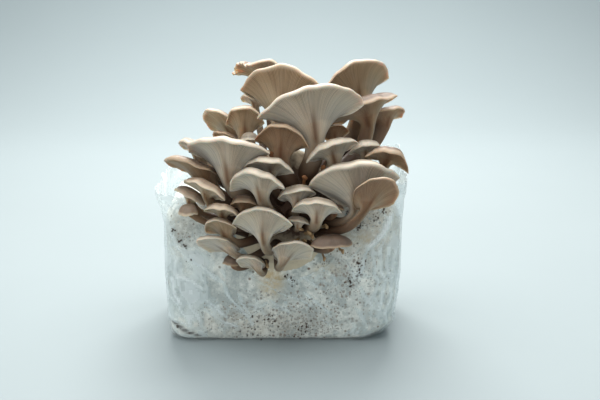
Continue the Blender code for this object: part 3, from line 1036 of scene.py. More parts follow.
            # The painted shade line down the middle, ahead of the stem and part way out
            narrow = np.exp(-(local[:, 0] / (1.1 + 0.9 * size)) ** 2) * (np.cos(angles) > 0.0)
            middle.append(narrow * ease(share / 0.12) * ease((0.72 - share) / 0.4))
        for step in range(1, self.edge_rings):
            turn = math.pi * step / self.edge_rings
            over = (1.0 - math.cos(turn)) / 2.0
            edge = margin + outward * (lip * (0.35 * math.sin(turn) - 0.55 * over))[:, None]
            edge[:, 2] = lip * over
            rings.append(placed(edge, 1.0, 1.0))
            along.append(1.0 + 0.1 * step / self.edge_rings)
            middle.append(no_line)
        for step in range(self.top_rings):
            share = 0.92 * (1.0 - step / self.top_rings)
            top = margin * share
            top[:, 2] = lip * share + form.top_height(share)
            rings.append(placed(top, 1.0, share))
            along.append(2.0 - 0.9 * share)
            middle.append(no_line)
        peak = hub + upward * form.top_height(0.0)
        return np.array(rings), peak, np.array(along), np.array(middle)

    def build(self, gills: GrowthTree, finish: bpy.types.Material) -> None:
        """Make the mushroom, cut its gills and hang it on the frame.

        Args:
            gills: The tree that cuts the gills.
            finish: The flesh.
        """
        rings, peak, along, middle = self.loft()
        columns = rings.shape[1]
        mesh = loft_mesh(self.form.name, rings, rings[0].mean(axis=0), peak)
        around = np.arange(columns) / columns
        set_attribute(mesh, "along", np.append(np.repeat(along, columns), (0.0, 2.0)))
        set_attribute(mesh, "around", np.append(np.tile(around, len(along)), (0.0, 0.0)))
        set_attribute(mesh, "middle_line_shade", np.append(middle.ravel() * self.middle_line_shade, (0.0, 0.0)))
        piece = new_object(f"{self.form.name}_grown", mesh)
        depth = min(self.deepest_gap, self.gap_share * self.form.lip + self.least_gap)
        gills.grow(piece, {
            "Gill pairs": self.gill_pairs, "Gap depth": depth * MM, "Finish": finish})
        hand_over(piece, self.form.tone.value, self.form.name)


WARM, BROWN = FleshTone.WARM, FleshTone.BROWN

MUSHROOMS = (
    # Behind and above
    Fruit(1, (-11, 13, 221), (-3, -36, 138), -12, 30, 0, 60, 44, 8, 5, 16, side_sag=(0, 2),
          front_sag=1, lip=3, fan=0.7, wave=2, waves=5, tone=WARM, ragged=1),
    Fruit(2, (1, -20, 197), (-4, -50, 140), 2, 58, -9, 76, 52, 8, 8, 28, side_sag=(0, 4),
          front_sag=1, lip=6, wave=1, waves=4, tone=WARM),
    Fruit(3, (21.5, -50.5, 192), (16, -58, 140), 8, 48, 8, 91, 52, 7, 8, 30, side_sag=(3, 3),
          lip=6),
    Fruit(4, (60, 10, 206), (25, -45, 142), 18, 52, 9, 64, 48, 8, 7, 24, side_sag=(0, 2), lip=5,
          tone=WARM),
    Fruit(5, (67, -22.5, 199), (33, -56, 138), 8, 25, 22, 66, 30, 11, 6.2, 21, side_sag=(3, 2),
          front_sag=1, lip=4, crown=5, dip=1, fan=0.6, twist=0.2, tone=BROWN),
    Fruit(6, (85.5, 5, 188), (36, -42, 133), 45, 32, -10, 37, 26, 8, 7, 12, lip=3, tone=BROWN),
    Fruit(7, (43.5, -43, 180), (26, -54, 142), 5, 52, 10, 24, 18, 5, 2.6, 8, lip=1.5, fan=0.4,
          tone=BROWN),
    Fruit(8, (-40, -9, 174), (-18, -46, 138), -55, 42, 25, 34, 40, 6, 4.5, 12, side_sag=(1, 1),
          front_sag=1, lip=4, tone=WARM),
    Fruit(9, (-31, -40, 187), (-7, -56, 136), -6, 48, 4, 33, 30, 10, 6, 15, front_sag=1, lip=5,
          tone=WARM),
    Fruit(10, (-41, -24, 170), (-26, -54, 134), -58, 36, 20, 24, 24, 5, 4, 8, side_sag=(1, 1),
          front_sag=1, tone=BROWN),
    Fruit(11, (-23, 1, 202), (-12, -42, 142), -45, 32, 8, 20, 18, 5, 3, 8, side_sag=(1, 1),
          front_sag=1, lip=3),
    # The middle tier, left to right
    Fruit(12, (2, -64, 174), (10, -64, 138), -8, 46, -3, 46, 35, 8, 7.2, 18, side_sag=(2, 4), lip=5,
          tone=BROWN),
    Fruit(13, (-26, -60, 182), (-12, -60, 138), -20, 14, 6, 16, 12, 4, 4, 9, side_sag=(1, 1),
          front_sag=1, crown=3, dip=0, fan=0.4),
    Fruit(14, (-36.5, -72, 164), (-16, -69, 135), -28, 35, 5, 76, 46, 8, 7.5, 27, side_sag=(-1, -1),
          front_sag=1, lip=5.5),
    Fruit(15, (-66, -46, 167), (-34, -55, 134), -50, 32, 8, 32, 26, 6, 5.2, 12, side_sag=(1, 1),
          front_sag=1, lip=4),
    Fruit(16, (-56.5, -64, 150.5), (-22, -60, 120), -58, 27, 12, 44, 48, 8, 7.2, 16,
          side_sag=(1, 1), lip=4.5, tone=BROWN),
    Fruit(17, (-60, -89, 142), (-25, -67, 111), -22, 38, -16, 42, 22, 9, 3.2, 7, side_sag=(1, 1),
          lip=4, crown=3, dip=1, tone=WARM),
    Fruit(18, (-74, -70, 133), (-34, -62, 107), -24, 30, -20, 33, 18, 7, 3.6, 8, side_sag=(1, 1),
          lip=4, crown=3, dip=1, tone=WARM),
    Fruit(19, (-76, -85, 127), (-30, -65, 99), -30, 0, 0, 18, 11, 5, 2.8, 7, side_sag=(1, 1),
          crown=3, dip=0, fan=0.4, tone=WARM),
    Fruit(20, (40, -71, 171), (23, -65, 134), 0, 28, 20, 46, 34, 8, 6, 12, side_sag=(3, 2), lip=5),
    Fruit(21, (70, -47, 168), (33, -62, 127), 0, 26, 6, 28, 30, 8, 4.6, 11, side_sag=(2, 1), lip=5),
    Fruit(22, (86, -66, 166), (41, -60, 119), 14, 28, -12, 38, 26, 8, 4.2, 10, side_sag=(3, 12),
          lip=5, tone=BROWN),
    # The lower tier, left to right
    Fruit(23, (-47, -92, 126), (-19, -69, 105), -8, 28, -6, 30, 24, 6, 3, 8, lip=4, tone=WARM),
    Fruit(24, (-30, -88, 131), (-14, -71, 116), -6, 32, 0, 24, 18, 7, 3.5, 9, lip=4, crown=4, dip=1,
          fan=0.4, tone=BROWN),
    Fruit(25, (-14, -95, 149), (-5, -72, 118), -25, 34, 7, 48, 34, 8, 5.4, 16, side_sag=(7, 7),
          lip=5.5),
    Fruit(26, (-8, -84, 158), (-1, -71, 129), -10, 33, -2, 42, 32, 7, 3.6, 7, lip=5),
    Fruit(27, (11, -85, 138), (6, -71, 118), 10, 34, 3, 32, 20, 7, 3.8, 13, side_sag=(2, 1), lip=4,
          crown=3, dip=1, fan=0.4),
    Fruit(28, (59.5, -77, 130), (31, -65, 110), -3, 53, 3, 74, 52, 6, 4.8, 16, side_sag=(-1, -8),
          front_sag=3, lip=8, crown=6),
    Fruit(29, (66, -103, 135), (30, -66, 99), 50, 46, -35, 38, 38, 6, 3.6, 10, lip=3, fan=0.4,
          tone=BROWN),
    Fruit(30, (29, -95, 127.5), (19, -69, 110), 0, 39, -3, 42, 22, 8, 5, 11, lip=4, crown=4, dip=1),
    Fruit(31, (42.5, -84, 127), (28, -66, 119), 15, 25, 0, 17, 10, 5, 2.8, 7, side_sag=(1, 1),
          dip=0, fan=0.4, tone=BROWN),
    Fruit(32, (14, -92, 118.8), (10, -71, 110), -8, 24, -6, 20, 11, 5, 2.8, 7, side_sag=(1, 1),
          front_sag=1, dip=0, fan=0.4),
    Fruit(33, (2.4, -90, 117.5), (2, -72, 111), -20, 8, -30, 16, 9, 5, 2.6, 6, side_sag=(1, 1),
          front_sag=1, crown=1, dip=0, fan=0.4, tone=BROWN),
    Fruit(34, (40, -97, 103), (19, -68, 91), 12, -4, 0, 36, 12, 7, 4, 9, side_sag=(1, 1),
          front_sag=1, lip=1.6, crown=4, dip=0, fan=0.4, tone=BROWN),
    # The lowest, against the block
    Fruit(35, (-44, -87, 108), (-18, -66, 96), -40, 36, 20, 30, 26, 6, 3.8, 8, front_sag=1, lip=3.5,
          tone=WARM),
    Fruit(36, (-39, -89, 94), (-11, -63, 85), -62, 22, 38, 25, 36, 4, 3.2, 8, side_sag=(1, 1),
          front_sag=1, lip=3.5),
    Fruit(37, (-13, -96, 111), (-2, -61, 92), -16, 49, 6, 50, 34, 8, 4.3, 15, side_sag=(2, 3),
          front_sag=1, lip=4.5),
    Fruit(38, (-1, -87, 85.5), (-4, -62, 77), 44, 35, -26, 38, 34, 3, 3.6, 9, side_sag=(1, 1),
          front_sag=1, lip=3, fan=0.5),
    Fruit(39, (-18, -87, 78.5), (-14, -62, 75), -50, 30, 26, 22, 25, 3, 2.6, 8, side_sag=(1, 1),
          front_sag=1, lip=3, fan=0.5),
    Fruit(40, (-40, -79, 80), (-18, -62, 77), -40, 10, 0, 15, 12, 5, 2.8, 7, side_sag=(1, 1),
          front_sag=1, crown=4, dip=0, fan=0.2, tone=BROWN),
)


@dataclass
class Cluster:
    """The mushrooms and the fused mass of stem bases that they grow from."""

    forms: Sequence[Fruit] = MUSHROOMS
    base_centre: Point = (0.0, -50.0, 115.5)
    base_radii: Point = (46.0, 23.5, 56.5)
    base_columns: int = 160
    base_rings: int = 80
    fibres: float = 34.0
    fibre_depth: float = 0.012

    def build_base(self, felt: GrowthTree) -> None:
        """Make the lumpy mass of stem bases.

        Args:
            felt: The tree that makes it lumpy.
        """
        angles = circle(self.base_columns)
        rings = []
        for share in np.linspace(0.02, 0.98, self.base_rings):
            lean = math.pi * (share - 0.5)
            ribs = 1.0 + self.fibre_depth * np.sin(self.fibres * angles) * math.cos(lean)
            flat = math.cos(lean) * ribs
            rings.append(np.stack([
                np.cos(angles) * flat, np.sin(angles) * flat,
                np.full_like(angles, math.sin(lean))], axis=1))
        rings = np.array(rings) * self.base_radii + self.base_centre
        low, high = (np.array(self.base_centre) + (0.0, 0.0, sign * self.base_radii[2])
                     for sign in (-1.0, 1.0))
        piece = new_object("cluster_base_grown", loft_mesh("cluster_base", rings, low, high))
        felt.grow(piece, {
            "Lump size": 14.0 * MM, "Lump height": 2.6 * MM, "Tuft size": 3.0 * MM,
            "Tuft height": 0.6 * MM, "Seed": 4.0, "Finish": BaseFinish().build()})
        hand_over(piece, "cluster_flesh", "cluster_base")

    def build(self, felt: GrowthTree) -> None:
        """Make the base and every mushroom.

        Args:
            felt: The tree that makes the base lumpy.
        """
        self.build_base(felt)
        gills = gill_tree()
        finishes = {tone: finish.build() for tone, finish in FLESH.items()}
        for form in self.forms:
            Mushroom(form).build(gills, finishes[form.tone])


# Bag and block


@dataclass(frozen=True)
class BagForm:
    """The bag's outer shape, in millimetres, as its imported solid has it."""

    half_width: float = 100.0
    half_depth: float = 60.0
    corner: float = 18.0
    heights: tuple[float, ...] = (0.0, 2.0, 6.0, 14.0, 60.0, 105.0, 150.0)
    lefts: tuple[float, ...] = (96.0, 99.0, 101.0, 102.0, 103.5, 103.5, 114.0)
    rights: tuple[float, ...] = (70.0, 80.0, 90.0, 98.0, 103.5, 104.0, 108.0)
    depths: tuple[float, ...] = (56.0, 58.5, 60.0, 61.0, 62.0, 61.0, 62.0)
    side_blend: float = 60.0
    opening: tuple[float, float] = (0.0, 108.0)
    opening_half_width: float = 54.0
    opening_depth: float = 50.0
    left_top: float = 132.0
    right_top: float = 142.0
    back_top: float = 150.0

    def columns(self, pitch: float) -> np.ndarray:
        """Return the plan of the bag, points round a rounded rectangle.

        Args:
            pitch: About how far apart the points are.

        Returns:
            The points, x and y, from the left end of the front.
        """
        corners = np.array([(-1.0, -1.0), (1.0, -1.0), (1.0, 1.0), (-1.0, 1.0)]) * (
            self.half_width - self.corner, self.half_depth - self.corner)
        bends = round(self.corner * math.pi / 2.0 / pitch)
        points = []
        for side, (start, end) in enumerate(zip(corners, np.roll(corners, -1, axis=0))):
            facing = 90.0 * side - 90.0
            turns = [math.radians(facing + 90.0 * step / bends) for step in range(bends)]
            outs = [self.corner * np.array([math.cos(turn), math.sin(turn)]) for turn in turns]
            count = round(float(np.linalg.norm(end - start)) / pitch)
            points += [start + (end - start) * step / count + outs[0] for step in range(count + 1)]
            points += [end + out for out in outs[1:]]
        return np.array(points)

    def wall(self, columns: np.ndarray, heights: np.ndarray | float,
             inset: float = 0.0) -> np.ndarray:
        """Return one point of the wall for each column, at its height.

        Args:
            columns: The plan's points.
            heights: The height of each, or one height for all.
            inset: How far inside the outer wall the points lie.

        Returns:
            The points.
        """
        heights = np.broadcast_to(heights, len(columns)).astype(float)
        x, y = columns[:, 0], columns[:, 1]
        left, right, half_depth = (
            np.interp(heights, self.heights, profile)
            for profile in (self.lefts, self.rights, self.depths)
        )
        blend = ease(x / self.side_blend + 0.5)
        half_width = left + (right - left) * blend - inset
        half_depth = half_depth - inset
        return np.stack([
            x * half_width / self.half_width, y * half_depth / self.half_depth, heights], axis=1)

    def rim(self, columns: np.ndarray) -> np.ndarray:
        """Return the height of the film's upper edge.

        Args:
            columns: The plan's points.

        Returns:
            The height at each. In front it dips round the opening.
        """
        x, y = columns[:, 0], columns[:, 1]
        back = ease((y + self.half_depth) / (2.0 * self.half_depth))
        across = ease((x + self.half_width) / (2.0 * self.half_width))
        side = self.left_top + (self.right_top - self.left_top) * across
        rim = side + (self.back_top - side) * back * across
        centre_x, centre_z = self.opening
        away = np.abs(x - centre_x) / self.opening_half_width
        bowl = centre_z - self.opening_depth * np.sqrt(np.clip(1.0 - away ** 2, 0.0, None))
        shoulder = centre_z + (rim - centre_z) * ease((away - 1.0) / 0.45)
        front = np.where(away < 1.0, bowl, shoulder)
        return np.where(y > -self.half_depth + 1.0, rim, front)


@dataclass(frozen=True)
class Fold:
    """A pressed fold of the film on the front wall: a ridge between two points, x and z."""

    start: tuple[float, float]
    end: tuple[float, float]
    height: float
    width: float

    def lift(self, x: np.ndarray, z: np.ndarray) -> np.ndarray:
        """Return how far the fold lifts the film.

        Args:
            x: The place of each point of the wall across it.
            z: The height of each.

        Returns:
            The lift of each.
        """
        start, line = np.array(self.start), np.array(self.end) - np.array(self.start)
        length = np.linalg.norm(line)
        share = ((x - start[0]) * line[0] + (z - start[1]) * line[1]) / length ** 2
        away = np.abs((x - start[0]) * line[1] - (z - start[1]) * line[0]) / length
        ends = ease((share + 0.1) / 0.25) * ease((1.1 - share) / 0.25)
        return self.height * ends * np.exp(-away / self.width)


FRONT_FOLDS = (
    # The long slack fold on the right, and the upright pleats below it
    Fold((96, 118), (74, 82), 3.2, 2.2),
    Fold((77, 84), (62, 60), 2.0, 1.8),
    Fold((80, 90), (78, 14), 2.0, 1.6),
    Fold((86, 94), (85, 12), 2.4, 1.5),
    Fold((92, 95), (92, 14), 2.4, 1.5),
    Fold((98, 98), (98, 22), 2.0, 1.5),
    Fold((88, 60), (72, 28), 1.4, 1.4),
    # Slanting folds on the left, from the slack side down to the bottom
    Fold((-97, 76), (-72, 14), 2.6, 2.0),
    Fold((-88, 86), (-52, 54), 2.2, 1.8),
    Fold((-100, 42), (-80, 10), 2.4, 1.8),
    Fold((-72, 74), (-60, 36), 1.8, 1.6),
    Fold((-98, 100), (-82, 70), 2.2, 1.8),
    Fold((-94, 60), (-90, 30), 3.0, 2.6),
    Fold((-90, 58), (-66, 50), 2.6, 2.4),
    Fold((-66, 50), (-58, 26), 2.2, 2.0),
    Fold((-52, 72), (14, 38), 1.0, 1.8),
    Fold((14, 62), (46, 50), 1.0, 1.6),
    Fold((-60, 30), (-40, 8), 1.2, 1.6),
    Fold((30, 20), (62, 6), 1.4, 1.6),
    # Pressed corner at the bottom left
    Fold((-104, 21), (-78, 9), 1.6, 1.4),
    Fold((-98, 4), (-70, 1), 1.6, 1.4),
)


@dataclass
class Bag:
    """The film bag and the block of mycelium that it is wrapped round."""

    form: BagForm = BagForm()
    film_pitch: float = 1.5
    film_thickness: float = 0.25
    film_rows: int = 86
    # The film's first rows, close together where it turns up from the bottom
    film_foot: tuple[float, ...] = (0.0, 0.7, 2.0, 4.0, 6.5, 10.0, 14.0)
    block_pitch: float = 2.0
    block_inset: float = 1.9
    block_lift: float = 0.9
    block_foot: tuple[float, ...] = (0.0, 0.8, 2.0, 4.0, 6.0, 8.5, 11.0, 14.0)
    # The block's shoulder: heights, and how far it has drawn in at each
    shoulder: tuple[float, ...] = (105.0, 112.0, 117.0, 121.0, 124.0, 127.0)
    shoulder_in: tuple[float, ...] = (0.0, 1.0, 3.0, 6.0, 10.0, 24.0)
    crown: float = 0.8
    seed: int = 21
    creases: int = 26
    # How much of a random crease and of a fold stands out, and from what height a fold is white
    crease_lift: float = 0.8
    fold_lift: float = 0.7
    white_fold: float = 2.6
    # The film is milky beyond this far from its middle, and below this height at its left front
    edge_from: float = 84.0
    veil_top: float = 96.0
    # It hangs slack above this height, and flutters this far
    slack_from: float = 112.0
    flutter: float = 3.0
    white_limits: tuple[float, ...] = (0.25, 0.42, 0.6, 0.8)

    def crinkle(self, points: np.ndarray) -> tuple[np.ndarray, np.ndarray]:
        """Return how far handling has pushed the film out, and how whitely it is creased.

        Args:
            points: A ring of points on the smooth wall.

        Returns:
            The distances in millimetres, and the creases' strengths from 0 to about 1.
        """
        x, y, z = points.T
        steps = np.linalg.norm(np.roll(points, -1, axis=0)[:, :2] - points[:, :2], axis=1)
        walk = np.cumsum(steps)
        # Folds wander, so their coordinates do
        walk = walk + 2.6 * np.sin(z / 7.0 + 1.0) + 1.1 * np.sin(z / 2.9 + walk / 6.0)
        x_bent = x + 2.4 * np.sin(z / 8.0 + x / 19.0) + 0.9 * np.sin(z / 3.3 - x / 7.0)
        z_bent = z + 2.4 * np.sin(x / 9.0 + 2.0) + 0.9 * np.sin(x / 3.7 + z / 8.0)
        # crease is how milky the film is drawn: partly the whitening of creased film, partly
        # painted highlight on the creases and folds
        lift, crease = np.zeros(len(points)), np.zeros(len(points))
        rng = np.random.default_rng(self.seed)
        for _ in range(self.creases):
            lean = rng.uniform(-1.6, 1.6)
            pitch = rng.uniform(22.0, 60.0)
            shift = rng.uniform(0.0, 300.0)
            wave = (walk + lean * z_bent + shift) / pitch
            away = np.abs(wave - np.round(wave)) * pitch / math.hypot(1.0, lean)
            patch = ease(np.sin(walk / rng.uniform(12.0, 30.0) + shift) * np.sin(
                z / rng.uniform(8.0, 20.0) + shift) * 1.6 - 0.5)
            strength = rng.uniform(0.3, 0.9) * patch
            lift += strength * self.crease_lift * np.exp(-away / 1.8)
            crease = np.maximum(crease, strength * np.exp(-away / 1.5))
        front = ease((-y - 40.0) / 12.0)
        for fold in FRONT_FOLDS:
            rise = front * fold.lift(x_bent, z_bent)
            lift += self.fold_lift * rise
            crease = np.maximum(crease, rise / self.white_fold)
        # Milkier at the sides, where the film turns edge-on, as painted reflection, and at the left
        # front. Milky places are cloudy, and clear at the bottom, so the block shows there
        cloud = np.sin(walk / 7.0 + z / 13.0) * np.sin(z / 9.0 - walk / 21.0)
        edge = ease((np.abs(x) - self.edge_from) / 14.0) * ease((z - 14.0) / 10.0)
        crease = np.maximum(crease, edge * (0.34 + 0.22 * cloud))
        veil = front * ease((-x - 40.0) / 40.0) * ease((self.veil_top - z) / 20.0)
        veil = veil * ease((z - 15.0) / 8.0)
        crease = np.maximum(crease, veil * (0.48 + 0.34 * cloud))
        # Above the block it is slack: it flutters, and crumples white, partly as painted highlight
        # on the crumples
        slack = ease((z - self.slack_from) / 20.0) * (1.0 - 0.7 * front)
        flutter = np.sin(walk / 5.3 + z / 9.0) * np.sin(walk / 17.0)
        crumple = np.sin(walk / 3.1 + z / 4.0) * np.sin(z / 5.0 - walk / 11.0)
        return lift + slack * self.flutter * flutter, crease + slack * (0.35 + 0.4 * crumple)

    def film_tops(self, columns: np.ndarray) -> np.ndarray:
        """Return the film's torn upper edge, with an ear that stands up at the right rear.

        Args:
            columns: The plan's points.

        Returns:
            The height at each.
        """
        rng = np.random.default_rng(self.seed)
        walk = circle(len(columns))
        torn = 1.6 * ripple(walk, (9, 17, 31, 47), rng) + 0.8 * ripple(walk, (71, 97), rng)
        tops = self.form.rim(columns) + torn
        ear = np.exp(-((columns[:, 0] - 100.0) / 24.0) ** 2 - ((columns[:, 1] - 30.0) / 26.0) ** 2)
        return tops + 7.0 * ear

    def build_film(self) -> None:
        """Make the film: a skin with an opening in the front, thickened inwards."""
        form, foot = self.form, self.film_foot
        columns = form.columns(self.film_pitch)
        rise = self.film_tops(columns) - foot[-1]
        rings = [form.wall(columns, height) for height in foot]
        for share in np.linspace(0.0, 1.0, self.film_rows)[1:]:
            rings.append(form.wall(columns, foot[-1] + rise * share))
        outward = unit(columns / np.array([form.half_width, form.half_depth]) ** 3)
        out, creases = [], []
        for ring in rings:
            lift, crease = self.crinkle(ring)
            free = ease(ring[:, 2] / 6.0)
            moved = ring.copy()
            moved[:, :2] += outward * (lift * free * 0.9)[:, None]
            out.append(moved)
            creases.append(crease * free)
        mesh = loft_mesh("bag", np.array(out), np.zeros(3))
        # Each quad is as white as its four corners are on average
        white = np.array(creases)
        white = (white[:-1] + white[1:]) / 2.0
        white = ((white + np.roll(white, -1, axis=1)) / 2.0).ravel()
        kinds = np.zeros(len(mesh.polygons), np.int32)
        kinds[:len(white)] = np.digitize(white, self.white_limits)
        mesh.polygons.foreach_set("material_index", kinds)
        for finish in FILM:
            mesh.materials.append(finish.build())
        piece = new_object("bag_film", mesh)
        skin = piece.modifiers.new("film", "SOLIDIFY")
        skin.thickness = self.film_thickness * MM
        skin.offset = -1.0
        hand_over(piece, "film", "bag")

    def build_block(self, felt: GrowthTree) -> None:
        """Make the block of sawdust bound by mycelium.

        Args:
            felt: The tree that makes it lumpy.
        """
        form, inset = self.form, self.block_inset
        columns = form.columns(self.block_pitch)
        lift = np.array([0.0, 0.0, self.block_lift])
        straight, top = self.shoulder[0], self.shoulder[-1]
        rings = [form.wall(columns, height, inset) + lift
                 for height in (*self.block_foot, *np.linspace(16.0, straight, 44))]
        for height in np.linspace(straight + 2.0, top, 14):
            drawn_in = inset + np.interp(height, self.shoulder, self.shoulder_in)
            ring = form.wall(columns, straight, drawn_in)
            rings.append(ring + np.array([0.0, 0.0, height - straight]))
        last = rings[-1]
        for share in np.linspace(0.93, 0.04, 24):
            rings.append(last * (share, share, 1.0) + (0.0, 0.0, self.crown * (1.0 - share)))
        peak = np.array([0.0, 0.0, top + self.crown])
        mesh = loft_mesh("substrate_block", np.array(rings), lift, peak)
        piece = new_object("mycelium_block", mesh)
        felt.grow(piece, {
            "Lump size": 22.0 * MM, "Lump height": 1.3 * MM, "Tuft size": 5.0 * MM,
            "Tuft height": 0.6 * MM, "Seed": 2.0, "Finish": MyceliumFinish().build()})
        hand_over(piece, "mycelium", "substrate_block")

    def build(self, felt: GrowthTree) -> None:
        """Make the block with the tree that makes it lumpy, and the film round it."""
        self.build_block(felt)
        self.build_film()


@dataclass
class Debris:
    """Dark bits on the film where grains and aborted pins have broken through it, and a few in the
    pressed fold at the bottom left as painted shadow.
    """

    seed: int = 7
    smallest: float = 0.4
    largest: float = 1.3
    # How far each bit's middle is in front of the smooth wall
    stand_off: float = 1.0
    # Half of the wall's width where the bits are. The plan's is the bag's half_width
    wall_half_width: float = 103.0
    # Middle of each patch on the front wall (x, z), its spread and how many bits it has
    patches: tuple = (
        ((57.0, 119.0), 1.6, 14), ((58.0, 114.0), 1.8, 16), ((63.0, 108.0), 2.0, 14),
        ((66.0, 105.0), 1.4, 10), ((84.0, 123.0), 2.4, 14), ((85.0, 118.0), 1.4, 8),
        ((82.0, 113.0), 3.4, 8), ((-93.0, 102.0), 1.4, 5), ((-88.0, 92.0), 1.4, 7),
        ((-84.0, 86.0), 2.0, 6), ((-80.0, 78.0), 2.4, 4), ((4.0, 62.0), 1.6, 9),
        ((8.0, 57.0), 2.4, 9), ((62.0, 90.0), 1.4, 6), ((66.0, 70.0), 3.0, 12),
        ((64.0, 62.0), 2.2, 10), ((60.0, 56.0), 4.0, 12), ((-13.0, 20.0), 3.0, 10),
        ((20.0, 15.0), 7.0, 24), ((-24.0, 16.0), 8.0, 20), ((40.0, 40.0), 9.0, 14),
        # The last two lie along the pressed fold at the bottom left: dark bits as painted shadow in
        # the fold
        ((-92.0, 14.0), 1.4, 3), ((-84.0, 9.5), 1.6, 3),
    )

    def build(self, bag: Bag) -> None:
        """Scatter the bits and make them one piece.

        Args:
            bag: The bag that they sit on.
        """
        form = bag.form
        rng = np.random.default_rng(self.seed)
        points = []
        front = form.columns(1.0)
        front = front[front[:, 1] < -0.6 * form.half_depth]
        for (x, z), spread, count in self.patches:
            for _ in range(count):
                bit_x, bit_z = rng.normal(x, spread), rng.normal(z, spread)
                plan_x = bit_x * form.half_width / self.wall_half_width
                nearest = np.argmin(np.abs(front[:, 0] - plan_x))
                point = form.wall(front[nearest:nearest + 1], bit_z)[0]
                points.append(point + (0.0, -self.stand_off, 0.0))
        mesh = bpy.data.meshes.new("debris")
        mesh.from_pydata([tuple(point * MM) for point in points], [], [])
        piece = new_object("dark_bits", mesh)
        finish = PlainFinish("Wet sawdust grains", "#4a3324", "#20140d", 1.0, 0.6).build()
        crumb_tree().grow(piece, {
            "Smallest": self.smallest * MM, "Largest": self.largest * MM, "Seed": 5,
            "Finish": finish})
        hand_over(piece, "brown_flesh")


@dataclass(frozen=True)
class Pins:
    """Mushrooms that stopped growing while they were pins: clubs of 9 to 18 mm."""

    name: str
    slot: str
    finish: PlainFinish
    # Root, tip and radius of each
    clubs: tuple
    # A club's width at shares of its length: a stalk under a small swollen cap
    profile: tuple = (
        (0.02, 0.7), (0.2, 0.75), (0.4, 0.72), (0.58, 0.8), (0.66, 1.15), (0.76, 1.35),
        (0.86, 1.25), (0.94, 0.85), (0.985, 0.4),
    )

    def build(self) -> None:
        """Make the clubs as one piece."""
        angles = circle(16)
        rng = np.random.default_rng(len(self.clubs))
        joined = bmesh.new()
        for root, tip, radius in self.clubs:
            root, tip = np.array(root, float), np.array(tip, float)
            line = unit(tip - root)
            side = unit(np.cross(line, (0.3, 1.0, 0.2)))
            oval = np.outer(np.cos(angles), side) + np.outer(
                np.sin(angles) * 0.55, np.cross(line, side))
            rings = []
            for share, wide in self.profile:
                uneven = 1.0 + 0.26 * ripple(angles, (1, 2, 3, 5), rng)
                rings.append(root + (tip - root) * share + oval * (radius * wide * uneven)[:, None])
            club = loft_mesh("club", np.array(rings), root, tip)
            joined.from_mesh(club)
            bpy.data.meshes.remove(club)
        mesh = bpy.data.meshes.new(self.name)
        joined.to_mesh(mesh)
        joined.free()
        mesh.shade_smooth()
        mesh.materials.append(self.finish.build())
        hand_over(new_object(self.name, mesh), self.slot)


PINS = (
    Pins("brown_pins", "brown_flesh", PlainFinish("Young pins", "#a8754c", "#74492f", 3.0, 0.6), (
        ((-13, -70, 160), (-14, -77, 171), 1.9), ((-8, -70, 160), (-9, -78, 174), 1.6),
        ((5, -72, 166), (4, -77, 177), 1.7), ((33, -72, 152), (35, -82, 163), 1.8),
        ((38, -72, 150), (40, -80, 160), 1.5), ((-20, -66, 166), (-22, -72, 178), 1.7),
        ((18, -74, 144), (19, -80, 154), 1.8), ((-34, -74, 128), (-37, -82, 136), 1.6),
        ((46, -68, 146), (49, -76, 156), 1.6), ((-27, -70, 92), (-29, -80, 98), 2.0),
    )),
    Pins("dried_pins", "warm_flesh", PlainFinish("Dried pins", "#c3a57a", "#7d5f44", 2.0, 0.8), (
        ((17, -80, 108), (15, -96, 112), 2.0), ((19, -80, 104), (24, -97, 109), 2.2),
        ((27, -80, 108), (30, -94, 114), 1.7), ((14, -80, 100), (11, -96, 101), 1.9),
        ((33, -80, 110), (38, -91, 113), 1.8), ((24, -80, 98), (28, -93, 97), 1.6),
        ((17, -80, 98), (20, -95, 102), 1.5), ((-14, -74, 78), (-12, -88, 77), 1.8),
        ((8, -80, 96), (6, -92, 94), 1.6), ((22, -82, 110), (26, -97, 104), 1.4),
        ((48, -70, 88), (52, -78, 87), 1.7), ((34, -72, 84), (36, -82, 81), 1.6),
    )),
)


# Studio


def aim(thing: bpy.types.Object, place: Vector, direction: Vector) -> None:
    """Set a light or camera in its place, in metres, and turn it to look along a direction."""
    turn = direction.to_track_quat("-Z", "Y").to_matrix().to_4x4()
    thing.matrix_world = Matrix.Translation(place) @ turn


@dataclass(frozen=True)
class Lamp:
    """An area light, in millimetres, aimed at a point."""

    name: str
    place: Point
    target: Point
    size: tuple[float, float]
    power: float
    colour: str

    def build(self) -> None:
        """Add the light to the scene."""
        data = bpy.data.lights.new(self.name, "AREA")
        data.shape = "RECTANGLE"
        data.size, data.size_y = (length * MM for length in self.size)
        data.energy = self.power
        data.color = linear(self.colour)[:3]
        place, target = Vector(self.place) * MM, Vector(self.target) * MM
        aim(new_object(self.name, data), place, target - place)


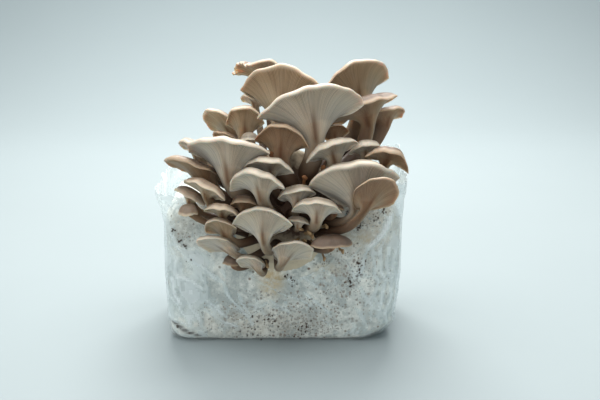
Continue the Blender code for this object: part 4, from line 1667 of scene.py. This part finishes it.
@dataclass
class Studio:
    """A pale seamless cove, light from behind and above, and the camera."""

    elevation: float = 14.0
    distance: float = 1000.0
    focal: float = 69.0
    target: Point = (15.0, -40.0, 123.0)
    half_width: float = 3000.0
    front: float = -2500.0
    bend_start: float = 900.0
    bend_radius: float = 900.0
    bend_steps: int = 24
    wall_top: float = 3200.0
    air: str = "#dbe9ee"
    air_strength: float = 0.5
    paper: PlainFinish = PlainFinish("Studio paper", "#98a2a5", "#939da0", 400.0, 0.9)
    lamps: tuple[Lamp, ...] = (
        Lamp("key light behind", (0, 950, 1150), (0, -20, 120), (900, 600), 31.0, "#fffdf9"),
        Lamp("soft light above", (0, -100, 1000), (0, -60, 100), (1300, 900), 13.0, "#fffefb"),
        Lamp("fill from the front", (-300, -1300, 500), (0, 0, 120), (1200, 900), 6.0, "#fffaf3"),
        Lamp("backdrop light", (0, 700, 900), (0, 1800, 500), (900, 500), 4.2, "#f0f8fa"),
    )

    def build_camera(self) -> None:
        """Add the camera at the photograph's angle."""
        lean = math.radians(self.elevation)
        back = Vector((0.0, -math.cos(lean), math.sin(lean)))
        data = bpy.data.cameras.new("camera")
        data.lens = self.focal
        data.sensor_width = 36.0
        data.clip_end = 30.0
        camera = new_object("camera", data)
        aim(camera, (Vector(self.target) + back * self.distance) * MM, -back)
        bpy.context.scene.camera = camera

    def build_cove(self) -> None:
        """Add the floor, which curves up into the backdrop."""
        profile = [(self.front, 0.0), (self.bend_start, 0.0)]
        for step in range(1, self.bend_steps + 1):
            turn = math.pi / 2.0 * step / self.bend_steps
            profile.append((self.bend_start + self.bend_radius * math.sin(turn),
                            self.bend_radius * (1.0 - math.cos(turn))))
        profile.append((profile[-1][0], self.wall_top))
        vertices = [(side * self.half_width * MM, y * MM, z * MM)
                    for y, z in profile for side in (-1.0, 1.0)]
        faces = [(2 * i, 2 * i + 1, 2 * i + 3, 2 * i + 2) for i in range(len(profile) - 1)]
        mesh = bpy.data.meshes.new("cove")
        mesh.from_pydata(vertices, [], faces)
        mesh.update()
        mesh.shade_smooth()
        mesh.materials.append(self.paper.build())
        new_object("studio_cove", mesh)

    def build(self) -> None:
        """Make the whole studio."""
        self.build_camera()
        self.build_cove()
        for lamp in self.lamps:
            lamp.build()
        world = bpy.data.worlds.new("studio air")
        world.use_nodes = True
        sky = world.node_tree.nodes["Background"]
        sky.inputs["Color"].default_value = linear(self.air)
        sky.inputs["Strength"].default_value = self.air_strength
        bpy.context.scene.world = world
        bpy.context.scene.view_settings.view_transform = "Standard"


def main() -> None:
    """Build the studio and the whole grow bag."""
    logging.basicConfig(level=logging.INFO, format="%(message)s")
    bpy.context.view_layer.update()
    Studio().build()
    felt = felt_tree()
    bag = Bag()
    bag.build(felt)
    Cluster().build(felt)
    Debris().build(bag)
    for pins in PINS:
        pins.build()


if __name__ == "__main__":
    main()
